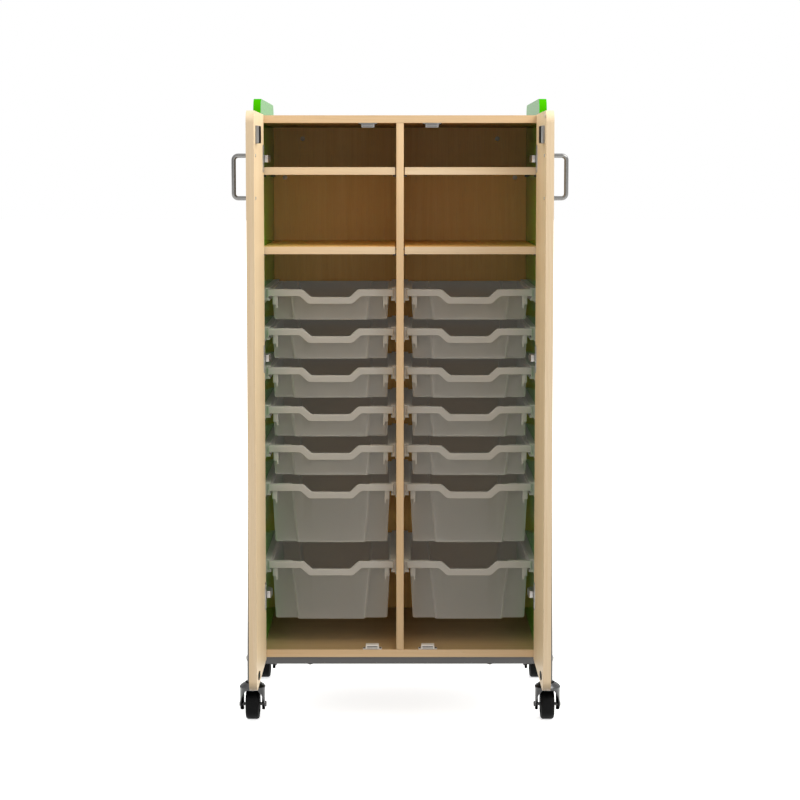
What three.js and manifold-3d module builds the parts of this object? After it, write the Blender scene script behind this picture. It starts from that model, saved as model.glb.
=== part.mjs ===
// Classroom tray storage unit on casters, with both doors standing open at a right angle.
// Millimetres. X runs to the right, Y to the rear, Z up from the floor.
// Sizes are worked out with the carcass front at Y = 0. The finished group is then moved along Y,
// so that the origin lies on the floor under the middle of the whole object.
import * as THREE from 'three';
import { mergeVertices } from 'three/addons/utils/BufferGeometryUtils.js';
import Module from 'manifold-3d';

const wasm = await Module();
wasm.setup();

// Clearances
const FIT = 0.3;              // between pieces that sit against each other
const WELD = 0.5;             // how far fused details reach into what carries them
const SAME_POINT = 0.001;     // points closer than this are taken as one

// Boards
const BOARD = 18;             // thickness of every board
const EAR_HEIGHT = 40;        // side panels above the top panel
const EAR_RADIUS = 30;
const BACK_THICKNESS = 6;
const BACK_INSET = 3;         // back panel ahead of the rear edges of the side panels

// Heights of the clear spaces inside a bay, from the bottom up
const UNDER_TRAY_SPACE = 62.3;
const TRAY_HEADROOM = 87.7;   // top rim to the lower shelf
const MIDDLE_SPACE = 173;     // between the shelves
const UPPER_SPACE = 106;      // upper shelf to the top panel

// Shelves and their pins
const SHELF_END_GAP = 2.5;
const SHELF_SETBACK = 4;
const SHELF_REAR_GAP = 3;
const PIN_RADIUS = 2.5;
const PIN_REACH = 8;
const PIN_EDGE_DISTANCE = 60; // pins from the carcass front and from the back panel

// Trays: depth below the rim, and rim width outside the body wall
const TRAY_KINDS = {
  shallow: { depth: 75, rim: 12.8 },
  deep: { depth: 147, rim: 9.4 },
};
const ROW_GAP = 21;           // shallow tray floor to the rim below it
const TRAY_ROWS = [           // row counts pitches below the top rim; a deep tray takes two
  { row: 0, kind: 'shallow' },
  { row: 1, kind: 'shallow' },
  { row: 2, kind: 'shallow' },
  { row: 3, kind: 'shallow' },
  { row: 4, kind: 'shallow' },
  { row: 5, kind: 'deep' },
  { row: 7, kind: 'deep' },
];
const LIP_WIDTH = 310;        // outside the rim
const TRAY_LENGTH = 427;
const TRAY_INNER_GAP = 6.2;   // rim to the divider
const TRAY_OUTER_GAP = 8.8;   // rim to the side panel
const TRAY_FRONT = 55;        // rim behind the carcass front
const TRAY_BACK_SPACE = 29;   // rim to the back panel
const TRAY_WALL = 2.2;
const RIM_THICKNESS = 2.5;
const LIP_HEIGHT = 16.7;      // front skirt of the rim
const SIDE_SKIRT = 21.7;      // skirt that rides in the runners
const WALL_DRAFT = 0.047;     // widening of the body per millimetre of height
const FLOOR_ROUND = 4;
const RIM_CORNER = 4;
const BODY_CORNER = 4;
const BODY_INSET = 6;         // rim front to the proud middle panel
const PANEL_WIDTH = 190.4;    // proud middle panel of the front and rear walls, at the rim
const PANEL_DRAFT = 0.096;    // widening of each panel edge per millimetre of height
const PANEL_STEP = 14;
const PANEL_FLANK = 3;
const DIP_WIDTH = 135.2;      // finger dip across its top
const DIP_FLOOR_WIDTH = 94;
const DIP_DEPTH = 19;
const DIP_SKEW = 7.2;         // the skirt's edge runs wider than the rim's edge by this

// Runners
const RUNNER_LAP = 6.4;       // flanges over and under the tray rim
const RUNNER_PLATE = 2.5;
const RUNNER_FLANGE = 2.5;
const RUNNER_HEADROOM = 0.8;
const RUNNER_SHELF = 6;       // thickness of the flange that carries the tray
const RUNNER_FOOT = 6;        // plate below that flange
const RUNNER_SETBACK = 6;     // runner behind the front of the tray rim
const RUNNER_OVERRUN = 10;    // runner behind the tray rim

// Doors and hinges
const DOOR_MEETING_GAP = 3;   // between the two doors when closed
const DOOR_OVERLAY = 10.8;    // of the closed door over the side panel edge
const DOOR_FACE_GAP = 3;      // closed door to the carcass front
const DOOR_TOP_LAP = 1.5;     // above the carcass
const DOOR_BOTTOM_LAP = 4.3;  // below the carcass
const DOOR_EDGE_RADIUS = 3;
const DOOR_CORNER_RADIUS = 28; // free corners
const HINGE_SETBACK = 11.5;   // axis ahead of the carcass front
const HINGE_INSET = 9;        // axis inside the closed door's hinge edge
const TOP_HINGE_DROP = 86;    // below the top panel
const MIDDLE_HINGE_ROW = 2;
const MIDDLE_HINGE_RISE = 28.7; // above the rim of that row
const BOTTOM_HINGE_DROP = 70; // below the rim of the lowest row
const CUP_RADIUS = 17.5;
const CUP_DEPTH = 11;
const CUP_WALL = 1.6;
const CUP_EDGE_DISTANCE = 24;
const CUP_FLANGE_HEIGHT = 66;
const CUP_FLANGE_WIDTH = 40;
const CUP_FLANGE_THICKNESS = 1.2;
const CUP_FLANGE_RADIUS = 9;
const ARM_HEIGHT = 17;
const ARM_REACH = 20;         // out from the side panel
const ARM_FRONT = 0.6;
const ARM_LENGTH = 46;
const ARM_NOSE = 7;           // bevel at the front of the arm
const ARM_TIP = 9;            // tip ahead of the carcass front, inside the cup of a closed door
const ARM_TIP_WIDTH = 9;
const ARM_SWING_GAP = 0.75;   // tip to the flange of an open door
const ARM_SWING_TAPER = 1.75; // room for the door to open past a right angle
const ARM_STEP = 6;           // drop of the arm behind the mounting plate
const HINGE_PLATE_HEIGHT = 38;
const HINGE_PLATE_THICKNESS = 2;
const HINGE_PLATE_FRONT = 22;
const HINGE_PLATE_LENGTH = 22;

// Wire pulls
const PULL_RADIUS = 5;
const PULL_CENTRES = 96;
const PULL_PROJECTION = 36;
const PULL_BEND = 10;
const PULL_DROP = 149;        // below the top of the door
const PULL_EDGE_DISTANCE = 50;

// Catches, and what they meet on the doors
const CATCH_WIDTH = 32;
const CATCH_HEIGHT = 11;
const CATCH_BASE_WIDTH = 46;
const CATCH_BASE_THICKNESS = 1.8;
const CATCH_DEPTH = 24;
const CATCH_FRONT = 0.5;
const TOP_CATCH_X = 77;
const BOTTOM_CATCH_X = 68;
const HOUSING_WIDTH = 45;
const HOUSING_HEIGHT = 40;
const HOUSING_PROUD = 10;
const HOUSING_RADIUS = 5;
const HOUSING_CATCH_GAP = 2.2;
const STRIKE_WIDTH = 36;
const STRIKE_HEIGHT = 14;
const STRIKE_THICKNESS = 2;
const STRIKE_RADIUS = 3;
const STRIKE_RISE = 3;        // strike centre above the bottom panel

// Casters
const WHEEL_RADIUS = 37.5;
const WHEEL_WIDTH = 34;
const WHEEL_ROUND = 7;
const WHEEL_RECESS = 3;
const WHEEL_RIM = 9;
const AXLE_RADIUS = 4;
const AXLE_HEAD_RADIUS = 7;
const AXLE_HEAD_LENGTH = 8;
const TRAIL = 16;             // axle behind the swivel axis
const WHEEL_HEADROOM = 22;    // wheel top to hood top
const HOOD_SIDE_SPACE = 14;   // wheel side to the outside of the hood
const HOOD_WALL = 2.2;
const HOOD_LIP = 1.2;         // rim bead outside the hood
const HOOD_LIP_HEIGHT = 3;
const HOOD_SHOULDER_DROP = 10;
const HOOD_CROWN = 13;        // radius of the flat at the top of the hood
const HOOD_ROOF = 5;
const HOOD_LOBE = 14.5;       // round end of each cheek about the axle
const HOOD_LOBE_START = 200;  // degrees round the axle, from the rear
const HOOD_LOBE_END = 342;
const HOOD_FRONT_RISE = 43.5; // front edge of the hood above the axle
const HOOD_FRONT_DEPTH = 26;  // the cheeks slope down from this far ahead of the swivel axis
const TUNNEL_SIDE_SPACE = 5;
const TUNNEL_HEADROOM = 4;
const TUNNEL_RADIUS = 12;
const STEM_RADIUS = 5.5;
const STEM_LENGTH = 34;

// Base frame
const BASE_CLEARANCE = 71;    // caster hood top to the bottom panel
const LEG_RADIUS = 12.6;
const LEG_STAND = 40;         // leg foot from the front and the rear of the side panel
const LEG_FOOT = 52.7;        // upright length of the leg above the caster
const LEG_BEND = 60;          // radius of the bend at the top
const LEG_TOP_DROP = 126;     // top of the bend below the top of the side panel
const RAIL_SIZE = 25;
const RAIL_RADIUS = 3;
const RAIL_OFFSET = 5.5;      // rail centre behind the leg foot

// Facets
const CORNER_STEPS = 3;
const EDGE_STEPS = 1;
const TRAY_CORNER_STEPS = 1;
const TREAD_STEPS = 2;
const BEND_STEPS = 8;
const ROUND_SIDES = 16;
const TUBE_SIDES = 12;
const ROD_SIDES = 10;
const PIN_SIDES = 6;
const LOBE_STEPS = 4;

// Places worked out from the sizes above
const HOOD_RADIUS = WHEEL_WIDTH / 2 + HOOD_SIDE_SPACE;
const HOOD_TOP = 2 * WHEEL_RADIUS + WHEEL_HEADROOM;
const BASE_Z = HOOD_TOP + BASE_CLEARANCE;
const FLOOR_TOP = BASE_Z + BOARD;
const ROW_PITCH = TRAY_KINDS.shallow.depth + ROW_GAP;
const LOWEST_ROW = TRAY_ROWS.at(-1).row;
const LOWEST_LIP = FLOOR_TOP + UNDER_TRAY_SPACE + TRAY_KINDS.deep.depth;
const lipTop = (row) => LOWEST_LIP + (LOWEST_ROW - row) * ROW_PITCH;
const LOWER_SHELF_BOTTOM = lipTop(0) + TRAY_HEADROOM;
const UPPER_SHELF_BOTTOM = LOWER_SHELF_BOTTOM + BOARD + MIDDLE_SPACE;
const CEILING = UPPER_SHELF_BOTTOM + BOARD + UPPER_SPACE;
const CARCASS_TOP = CEILING + BOARD;
const SIDE_TOP = CARCASS_TOP + EAR_HEIGHT;
const BACK_FRONT = TRAY_FRONT + TRAY_LENGTH + TRAY_BACK_SPACE;
const DEPTH = BACK_FRONT + BACK_THICKNESS + BACK_INSET;
const DIVIDER_FACE = BOARD / 2;
const TRAY_X = DIVIDER_FACE + TRAY_INNER_GAP + LIP_WIDTH / 2;
const SIDE_INNER = DIVIDER_FACE + TRAY_INNER_GAP + LIP_WIDTH + TRAY_OUTER_GAP;
const SIDE_OUTER = SIDE_INNER + BOARD;
const HINGE_X = SIDE_INNER + DOOR_OVERLAY - HINGE_INSET;
const HINGE_HEIGHTS = {
  top: CEILING - TOP_HINGE_DROP,
  middle: lipTop(MIDDLE_HINGE_ROW) + MIDDLE_HINGE_RISE,
  bottom: LOWEST_LIP - BOTTOM_HINGE_DROP,
};
const DOOR_WIDTH = SIDE_INNER + DOOR_OVERLAY - DOOR_MEETING_GAP / 2;
const DOOR_INNER = HINGE_X - HINGE_SETBACK + DOOR_FACE_GAP;
const DOOR_OUTER = DOOR_INNER + BOARD;
const DOOR_REAR = HINGE_INSET - HINGE_SETBACK;
const DOOR_FRONT = DOOR_REAR - DOOR_WIDTH;
const DOOR_BOTTOM = BASE_Z - DOOR_BOTTOM_LAP;
const DOOR_TOP = CARCASS_TOP + DOOR_TOP_LAP;
const LEG_X = SIDE_OUTER + FIT + LEG_RADIUS;
const CASTER_PLACES = { front: LEG_STAND, rear: DEPTH - LEG_STAND };
const REAR_REACH = Math.max(DEPTH, CASTER_PLACES.rear + TRAIL + WHEEL_RADIUS);

// Finishes
const finish = (color, roughness, metalness = 0) =>
  () => new THREE.MeshStandardMaterial({ color, roughness, metalness });
const green = finish(0x4ec503, 0.45);
const maple = finish(0xdcc09a, 0.5);
const darkMaple = finish(0xc8a878, 0.55);
const frosted = finish(0xb0a898, 0.35);
const paintedSteel = finish(0x8c8a86, 0.4, 0.6);
const chrome = finish(0xb4b2ae, 0.25, 1);
const hingeSteel = finish(0x9a948c, 0.35, 0.9);
const catchPlastic = finish(0xd8d0c6, 0.5);
const blackRubber = finish(0x1c1c1b, 0.6);

const unit = new THREE.Group();

function add(name, geometry, material) {
  const mesh = new THREE.Mesh(geometry, material());
  mesh.name = name;
  unit.add(mesh);
}

// Joins and cuts
function solid(geometry) {
  const bare = geometry.clone();
  bare.deleteAttribute('normal');
  bare.deleteAttribute('uv');
  const merged = mergeVertices(bare, SAME_POINT);
  return new wasm.Manifold(new wasm.Mesh({
    numProp: 3,
    vertProperties: new Float32Array(merged.attributes.position.array),
    triVerts: new Uint32Array(merged.index.array),
  }));
}

function surface(body) {
  const mesh = body.getMesh();
  const geometry = new THREE.BufferGeometry();
  geometry.setAttribute('position', new THREE.BufferAttribute(mesh.vertProperties, 3));
  geometry.setIndex(new THREE.BufferAttribute(mesh.triVerts, 1));
  geometry.computeVertexNormals();
  return geometry;
}

const join = (first, ...others) =>
  surface(others.reduce((body, other) => body.add(solid(other)), solid(first)));
const cut = (first, ...others) =>
  surface(others.reduce((body, other) => body.subtract(solid(other)), solid(first)));
const common = (first, second) => surface(solid(first).intersect(solid(second)));

// The same geometry on the other side of the plane X = 0
function mirrored(geometry) {
  const bare = geometry.index ? geometry.clone() : mergeVertices(geometry.clone());
  bare.scale(-1, 1, 1);
  const index = bare.index.array;
  for (let i = 0; i < index.length; i += 3) {
    [index[i], index[i + 1]] = [index[i + 1], index[i]];
  }
  bare.computeVertexNormals();
  return bare;
}

// A piece made for the right side, and its twin on the left
function addPair(name, geometry, material) {
  add(`right_${name}`, geometry, material);
  add(`left_${name}`, mirrored(geometry), material);
}

function block(x0, x1, y0, y1, z0, z1) {
  const geometry = new THREE.BoxGeometry(x1 - x0, y1 - y0, z1 - z0);
  return geometry.translate((x0 + x1) / 2, (y0 + y1) / 2, (z0 + z1) / 2);
}

// Outlines are drawn in the plane across the direction they are pushed along
const pushed = (shape, depth, curveSegments = EDGE_STEPS) =>
  new THREE.ExtrudeGeometry(shape, { depth, bevelEnabled: false, curveSegments });
const alongX = (shape, x0, x1, steps) => {
  const turn = new THREE.Matrix4().makeBasis(
    new THREE.Vector3(0, 1, 0), new THREE.Vector3(0, 0, 1), new THREE.Vector3(1, 0, 0));
  return pushed(shape, x1 - x0, steps).applyMatrix4(turn).translate(x0, 0, 0);
};
const alongY = (shape, y0, y1) => pushed(shape, y1 - y0).rotateX(Math.PI / 2).translate(0, y1, 0);
const alongZ = (shape, z0, z1) => pushed(shape, z1 - z0).translate(0, 0, z0);
const outline = (points) => new THREE.Shape(points.map(([a, b]) => new THREE.Vector2(a, b)));

function roundedRectangle(a0, a1, b0, b1, radius) {
  const shape = new THREE.Shape();
  const r = Math.min(radius, (a1 - a0) / 2 - FIT, (b1 - b0) / 2 - FIT);
  shape.absarc(a1 - r, b0 + r, r, -Math.PI / 2, 0);
  shape.absarc(a1 - r, b1 - r, r, 0, Math.PI / 2);
  shape.absarc(a0 + r, b1 - r, r, Math.PI / 2, Math.PI);
  shape.absarc(a0 + r, b0 + r, r, Math.PI, 1.5 * Math.PI);
  return shape;
}

function cylinderX(radius, sides, x0, x1, y, z) {
  const geometry = new THREE.CylinderGeometry(radius, radius, x1 - x0, sides);
  return geometry.rotateZ(Math.PI / 2).translate((x0 + x1) / 2, y, z);
}

function cylinderZ(radius, sides, x, y, z0, z1) {
  const geometry = new THREE.CylinderGeometry(radius, radius, z1 - z0, sides);
  return geometry.rotateX(Math.PI / 2).translate(x, y, (z0 + z1) / 2);
}

// A closed solid through loops of equally many points, with a flat cap on the first and the last
function loft(loops) {
  const count = loops[0].length;
  const index = [];
  for (let k = 0; k + 1 < loops.length; k += 1) {
    for (let i = 0; i < count; i += 1) {
      const a = k * count + i;
      const b = k * count + (i + 1) % count;
      index.push(a, b, b + count, a, b + count, a + count);
    }
  }
  const last = (loops.length - 1) * count;
  capTriangles(loops[0]).forEach(([a, b, c]) => index.push(a, c, b));
  capTriangles(loops.at(-1)).forEach(([a, b, c]) => index.push(last + a, last + b, last + c));
  const geometry = new THREE.BufferGeometry().setFromPoints(loops.flat());
  geometry.setIndex(index);
  geometry.computeVertexNormals();
  return geometry;
}

// Triangles of a loop that turn the way the loop does
function capTriangles(loop) {
  const normal = new THREE.Vector3();
  loop.forEach((p, i) => normal.add(p.clone().cross(loop[(i + 1) % loop.length])));
  normal.normalize();
  const across = loop[1].clone().sub(loop[0]).projectOnPlane(normal).normalize();
  const up = normal.clone().cross(across);
  const flat = loop.map((p) => new THREE.Vector2(p.dot(across), p.dot(up)));
  return THREE.ShapeUtils.triangulateShape(flat, []);
}

// A round rod through points that lie in one plane, with mitred turns
function rod(points, radius, sides, planeNormal) {
  const loops = points.map((p, i) => {
    const before = p.clone().sub(points[Math.max(i - 1, 0)]);
    const after = points[Math.min(i + 1, points.length - 1)].clone().sub(p);
    const into = (i === 0 ? after : before).clone().normalize();
    const out = (i === points.length - 1 ? before : after).clone().normalize();
    const tangent = into.clone().add(out).normalize();
    const side = planeNormal.clone().cross(tangent).divideScalar(tangent.dot(out));
    return Array.from({ length: sides }, (_, k) => {
      const angle = (2 * Math.PI * k) / sides;
      return p.clone()
        .addScaledVector(planeNormal, radius * Math.cos(angle))
        .addScaledVector(side, radius * Math.sin(angle));
    });
  });
  return loft(loops.map((loop) => loop.toReversed()));
}

// Points on an arc, from one angle to another
function arc(centreA, centreB, radius, from, to, steps) {
  return Array.from({ length: steps + 1 }, (_, i) => {
    const angle = from + ((to - from) * i) / steps;
    return [centreA + radius * Math.cos(angle), centreB + radius * Math.sin(angle)];
  });
}

// Runner: a channel on a wall, open towards the tray. Reach runs from the wall face.
function runner(wall, direction, gap, row) {
  const width = gap + RUNNER_LAP;
  const shelfTop = -SIDE_SKIRT - FIT;
  const shelfBottom = shelfTop - RUNNER_SHELF;
  const section = [
    [-WELD, shelfBottom - RUNNER_FOOT], [RUNNER_PLATE, shelfBottom - RUNNER_FOOT],
    [RUNNER_PLATE, shelfBottom], [width, shelfBottom], [width, shelfTop], [RUNNER_PLATE, shelfTop],
    [RUNNER_PLATE, RUNNER_HEADROOM], [width, RUNNER_HEADROOM],
    [width, RUNNER_HEADROOM + RUNNER_FLANGE], [-WELD, RUNNER_HEADROOM + RUNNER_FLANGE],
  ].map(([reach, rise]) => [wall + direction * reach, lipTop(row) + rise]);
  const front = TRAY_FRONT + RUNNER_SETBACK;
  return alongY(outline(section), front, TRAY_FRONT + TRAY_LENGTH + RUNNER_OVERRUN);
}

// The two pins that carry one end of a shelf
function shelfPins(wall, direction, shelfBottom) {
  const ends = [wall - direction * WELD, wall + direction * PIN_REACH].sort((a, b) => a - b);
  return [PIN_EDGE_DISTANCE, BACK_FRONT - PIN_EDGE_DISTANCE].map((y) =>
    cylinderX(PIN_RADIUS, PIN_SIDES, ends[0], ends[1], y, shelfBottom - FIT - PIN_RADIUS));
}

function wallFittings(wall, direction, gap) {
  return [
    ...TRAY_ROWS.map(({ row }) => runner(wall, direction, gap, row)),
    ...[LOWER_SHELF_BOTTOM, UPPER_SHELF_BOTTOM].flatMap((z) => shelfPins(wall, direction, z)),
  ];
}

// Carcass
const sideProfile = new THREE.Shape();
sideProfile.moveTo(0, BASE_Z);
sideProfile.lineTo(DEPTH, BASE_Z);
sideProfile.absarc(DEPTH - EAR_RADIUS, SIDE_TOP - EAR_RADIUS, EAR_RADIUS, 0, Math.PI / 2);
sideProfile.absarc(EAR_RADIUS, SIDE_TOP - EAR_RADIUS, EAR_RADIUS, Math.PI / 2, Math.PI);
const sideBoard = alongX(sideProfile, SIDE_INNER, SIDE_OUTER, CORNER_STEPS);
addPair('side_panel', join(sideBoard, ...wallFittings(SIDE_INNER, -1, TRAY_OUTER_GAP)), green);

const panelEnd = SIDE_INNER - FIT;
const panelRear = BACK_FRONT - FIT;
add('top_panel', block(-panelEnd, panelEnd, 0, panelRear, CEILING, CARCASS_TOP), maple);
add('bottom_panel', block(-panelEnd, panelEnd, 0, panelRear, BASE_Z, FLOOR_TOP), maple);
add('back_panel',
  block(-panelEnd, panelEnd, BACK_FRONT, BACK_FRONT + BACK_THICKNESS, BASE_Z, CARCASS_TOP), darkMaple);
add('centre_divider', join(
  block(-DIVIDER_FACE, DIVIDER_FACE, 0, panelRear, FLOOR_TOP + FIT, CEILING - FIT),
  ...wallFittings(DIVIDER_FACE, 1, TRAY_INNER_GAP),
  ...wallFittings(-DIVIDER_FACE, -1, TRAY_INNER_GAP)), maple);

const shelves = { upper_shelf: UPPER_SHELF_BOTTOM, lower_shelf: LOWER_SHELF_BOTTOM };
for (const [name, z] of Object.entries(shelves)) {
  const board = block(DIVIDER_FACE + SHELF_END_GAP, SIDE_INNER - SHELF_END_GAP,
    SHELF_SETBACK, BACK_FRONT - SHELF_REAR_GAP, z, z + BOARD);
  addPair(name, board, maple);
}

// Trays. A loop runs round the tray at one height: along the front, then counter-clockwise.
// Its settings are the half width, the inset from the rim's front and rear, the corner radius,
// the step and half width of the proud middle panels, the height, and how the front edge dips.
function trayLoop({ half, inset, corner, step, z, panel = PANEL_WIDTH / 2, dip = 0, skew = 0, sideZ = z }) {
  const front = inset;
  const rear = TRAY_LENGTH - inset;
  const flank = panel + PANEL_FLANK;
  const dipTop = DIP_WIDTH / 2 + skew;
  const dipFloor = DIP_FLOOR_WIDTH / 2 + skew;
  const quarter = Math.PI / 2;
  const turn = (x, y, from) => arc(x, y, corner, from, from + quarter, TRAY_CORNER_STEPS);
  const right = half - corner;
  const near = front + step + corner;
  const far = rear - step - corner;
  const frontEdge = [
    [-flank, front + step, z], [-panel, front, z], [-dipTop, front, z], [-dipFloor, front, z - dip],
    [dipFloor, front, z - dip], [dipTop, front, z], [panel, front, z], [flank, front + step, z],
  ];
  const sides = [
    ...turn(right, near, -quarter), ...turn(right, far, 0),
    [flank, rear - step], [panel, rear], [-panel, rear], [-flank, rear - step],
    ...turn(-right, far, quarter), ...turn(-right, near, 2 * quarter),
  ].map(([x, y]) => [x, y, y > near - FIT ? sideZ : z]);
  return [...frontEdge, ...sides].map(([x, y, height]) => new THREE.Vector3(x, y, height));
}

function tray({ depth, rim }) {
  const lip = { half: LIP_WIDTH / 2, inset: 0, corner: RIM_CORNER, step: 0, dip: DIP_DEPTH };
  const lipInside = {
    ...lip, half: lip.half - TRAY_WALL, inset: TRAY_WALL, corner: RIM_CORNER - TRAY_WALL,
  };
  const body = (height, inwards) => ({
    half: LIP_WIDTH / 2 - rim - WALL_DRAFT * height - inwards,
    inset: BODY_INSET + WALL_DRAFT * height + inwards,
    corner: BODY_CORNER,
    step: PANEL_STEP,
    panel: PANEL_WIDTH / 2 - PANEL_DRAFT * height,
  });
  const under = -RIM_THICKNESS;
  const floor = depth - TRAY_WALL;
  const skirt = { z: -LIP_HEIGHT, sideZ: -SIDE_SKIRT, skew: DIP_SKEW };
  return loft([
    { ...body(depth, FLOOR_ROUND), z: -depth },
    { ...body(depth - FLOOR_ROUND, 0), z: FLOOR_ROUND - depth },
    { ...body(RIM_THICKNESS, 0), z: under, dip: DIP_DEPTH },
    { ...lipInside, z: under },
    { ...lipInside, ...skirt },
    { ...lip, ...skirt },
    { ...lip, z: 0 },
    { ...body(0, TRAY_WALL), z: 0, dip: DIP_DEPTH },
    { ...body(floor, TRAY_WALL), z: -floor },
  ].map(trayLoop));
}

TRAY_ROWS.forEach(({ row, kind }, place) => {
  const geometry = tray(TRAY_KINDS[kind]).translate(TRAY_X, TRAY_FRONT, lipTop(row));
  addPair(`tray_${place + 1}`, geometry, frosted);
});

// Doors, at right angles to the front, with round free corners and round bores for the hinge cups
const cupY = DOOR_REAR - CUP_EDGE_DISTANCE;
const doorSection = roundedRectangle(DOOR_INNER, DOOR_OUTER, DOOR_FRONT, DOOR_REAR, DOOR_EDGE_RADIUS);
const doorFace = new THREE.Shape();
doorFace.moveTo(DOOR_REAR + WELD, DOOR_BOTTOM);
doorFace.lineTo(DOOR_REAR + WELD, DOOR_TOP);
for (const [z, from] of [[DOOR_TOP - DOOR_CORNER_RADIUS, 0.5], [DOOR_BOTTOM + DOOR_CORNER_RADIUS, 1]]) {
  doorFace.absarc(DOOR_FRONT + DOOR_CORNER_RADIUS, z, DOOR_CORNER_RADIUS,
    from * Math.PI, (from + 0.5) * Math.PI);
}
const doorBoard = common(
  alongZ(doorSection, DOOR_BOTTOM - WELD, DOOR_TOP + WELD),
  alongX(doorFace, DOOR_INNER - WELD, DOOR_OUTER + WELD, CORNER_STEPS));
const cupBores = Object.values(HINGE_HEIGHTS).map((z) =>
  cylinderX(CUP_RADIUS + FIT, TUBE_SIDES, DOOR_INNER - WELD, DOOR_INNER + CUP_DEPTH + FIT, cupY, z));
addPair('door', cut(doorBoard, ...cupBores), maple);

// Hinge cup: a round cup let into the door under a flat flange with rounded ends
function hingeCup(z) {
  const face = DOOR_INNER - FIT;
  const flangeShape = roundedRectangle(
    cupY - CUP_FLANGE_WIDTH / 2, cupY + CUP_FLANGE_WIDTH / 2,
    z - CUP_FLANGE_HEIGHT / 2, z + CUP_FLANGE_HEIGHT / 2, CUP_FLANGE_RADIUS);
  const flange = alongX(flangeShape, face - CUP_FLANGE_THICKNESS, face);
  const shell = cylinderX(CUP_RADIUS, TUBE_SIDES, face - WELD, face + CUP_DEPTH, cupY, z);
  const inside = cylinderX(CUP_RADIUS - CUP_WALL, TUBE_SIDES,
    face - 2 * CUP_FLANGE_THICKNESS, face + CUP_DEPTH - CUP_WALL, cupY, z);
  return cut(join(flange, shell), inside);
}

// Hinge arm: a block that steps down to a mounting plate on the side panel. Its tip lies against
// the flange of the open door, and goes into the cup as the door closes.
function hingeArm(z) {
  const wall = SIDE_INNER - FIT;
  const armEnd = ARM_FRONT + ARM_LENGTH;
  const stepAt = HINGE_PLATE_FRONT + HINGE_PLATE_LENGTH / 2;
  const inside = wall - ARM_REACH;
  const tip = DOOR_INNER - FIT - CUP_FLANGE_THICKNESS - ARM_SWING_GAP;
  const arm = alongZ(outline([
    [wall, ARM_FRONT + ARM_NOSE], [wall, armEnd], [inside + ARM_STEP, armEnd],
    [inside + ARM_STEP, stepAt + ARM_STEP], [inside, stepAt], [inside, ARM_FRONT],
    [tip - ARM_TIP_WIDTH, -ARM_TIP], [tip, -ARM_TIP],
    [tip - ARM_SWING_TAPER, ARM_FRONT], [wall - ARM_NOSE, ARM_FRONT],
  ]), z - ARM_HEIGHT / 2, z + ARM_HEIGHT / 2);
  const plate = block(wall - HINGE_PLATE_THICKNESS, wall, HINGE_PLATE_FRONT,
    HINGE_PLATE_FRONT + HINGE_PLATE_LENGTH, z - HINGE_PLATE_HEIGHT / 2, z + HINGE_PLATE_HEIGHT / 2);
  return join(arm, plate);
}

for (const [place, z] of Object.entries(HINGE_HEIGHTS)) {
  addPair(`${place}_hinge_cup`, hingeCup(z), hingeSteel);
  addPair(`${place}_hinge_arm`, hingeArm(z), hingeSteel);
}

// Wire pull: a rod bent to a square-shouldered loop, standing on the door's outer face
const pullY = DOOR_FRONT + PULL_EDGE_DISTANCE;
const pullReach = DOOR_OUTER + PULL_PROJECTION - PULL_RADIUS;
const pullMiddle = DOOR_TOP - PULL_DROP;
const pullLow = pullMiddle - PULL_CENTRES / 2;
const pullHigh = pullMiddle + PULL_CENTRES / 2;
const quarterTurn = Math.PI / 2;
const bendX = pullReach - PULL_BEND;
const pullPath = [
  [DOOR_OUTER + FIT, pullLow],
  ...arc(bendX, pullLow + PULL_BEND, PULL_BEND, -quarterTurn, 0, CORNER_STEPS),
  ...arc(bendX, pullHigh - PULL_BEND, PULL_BEND, 0, quarterTurn, CORNER_STEPS),
  [DOOR_OUTER + FIT, pullHigh],
].map(([x, z]) => new THREE.Vector3(x, pullY, z));
addPair('pull', rod(pullPath, PULL_RADIUS, ROD_SIDES, new THREE.Vector3(0, 1, 0)), chrome);

// Catches: a magnet block on a base plate, hung under the top panel and stood on the bottom panel
function catchBody(x, seat, direction) {
  const base = CATCH_BASE_WIDTH / 2;
  const half = CATCH_WIDTH / 2;
  const section = outline([
    [-base, 0], [base, 0], [base, CATCH_BASE_THICKNESS], [half, CATCH_BASE_THICKNESS],
    [half, CATCH_HEIGHT], [-half, CATCH_HEIGHT], [-half, CATCH_BASE_THICKNESS],
    [-base, CATCH_BASE_THICKNESS],
  ].map(([across, rise]) => [x + across, seat + direction * rise]));
  return alongY(section, CATCH_FRONT, CATCH_FRONT + CATCH_DEPTH);
}
addPair('top_catch', catchBody(TOP_CATCH_X, CEILING - FIT, -1), catchPlastic);
addPair('bottom_catch', catchBody(BOTTOM_CATCH_X, FLOOR_TOP + FIT, 1), catchPlastic);

// What meets the catches on the doors: distances from the middle of the closed unit
const doorY = (closedX) => DOOR_FRONT + closedX - DOOR_MEETING_GAP / 2;
const housingTop = CEILING - FIT - CATCH_HEIGHT - HOUSING_CATCH_GAP;
const housingY = doorY(TOP_CATCH_X);
const housingShape = roundedRectangle(housingY - HOUSING_WIDTH / 2, housingY + HOUSING_WIDTH / 2,
  housingTop - HOUSING_HEIGHT, housingTop, HOUSING_RADIUS);
addPair('strike_housing',
  alongX(housingShape, DOOR_INNER - FIT - HOUSING_PROUD, DOOR_INNER - FIT), hingeSteel);
const strikeY = doorY(BOTTOM_CATCH_X);
const strikeZ = FLOOR_TOP + STRIKE_RISE;
const strikeShape = roundedRectangle(strikeY - STRIKE_WIDTH / 2, strikeY + STRIKE_WIDTH / 2,
  strikeZ - STRIKE_HEIGHT / 2, strikeZ + STRIKE_HEIGHT / 2, STRIKE_RADIUS);
addPair('strike_plate',
  alongX(strikeShape, DOOR_INNER - FIT - STRIKE_THICKNESS, DOOR_INNER - FIT), hingeSteel);

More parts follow.
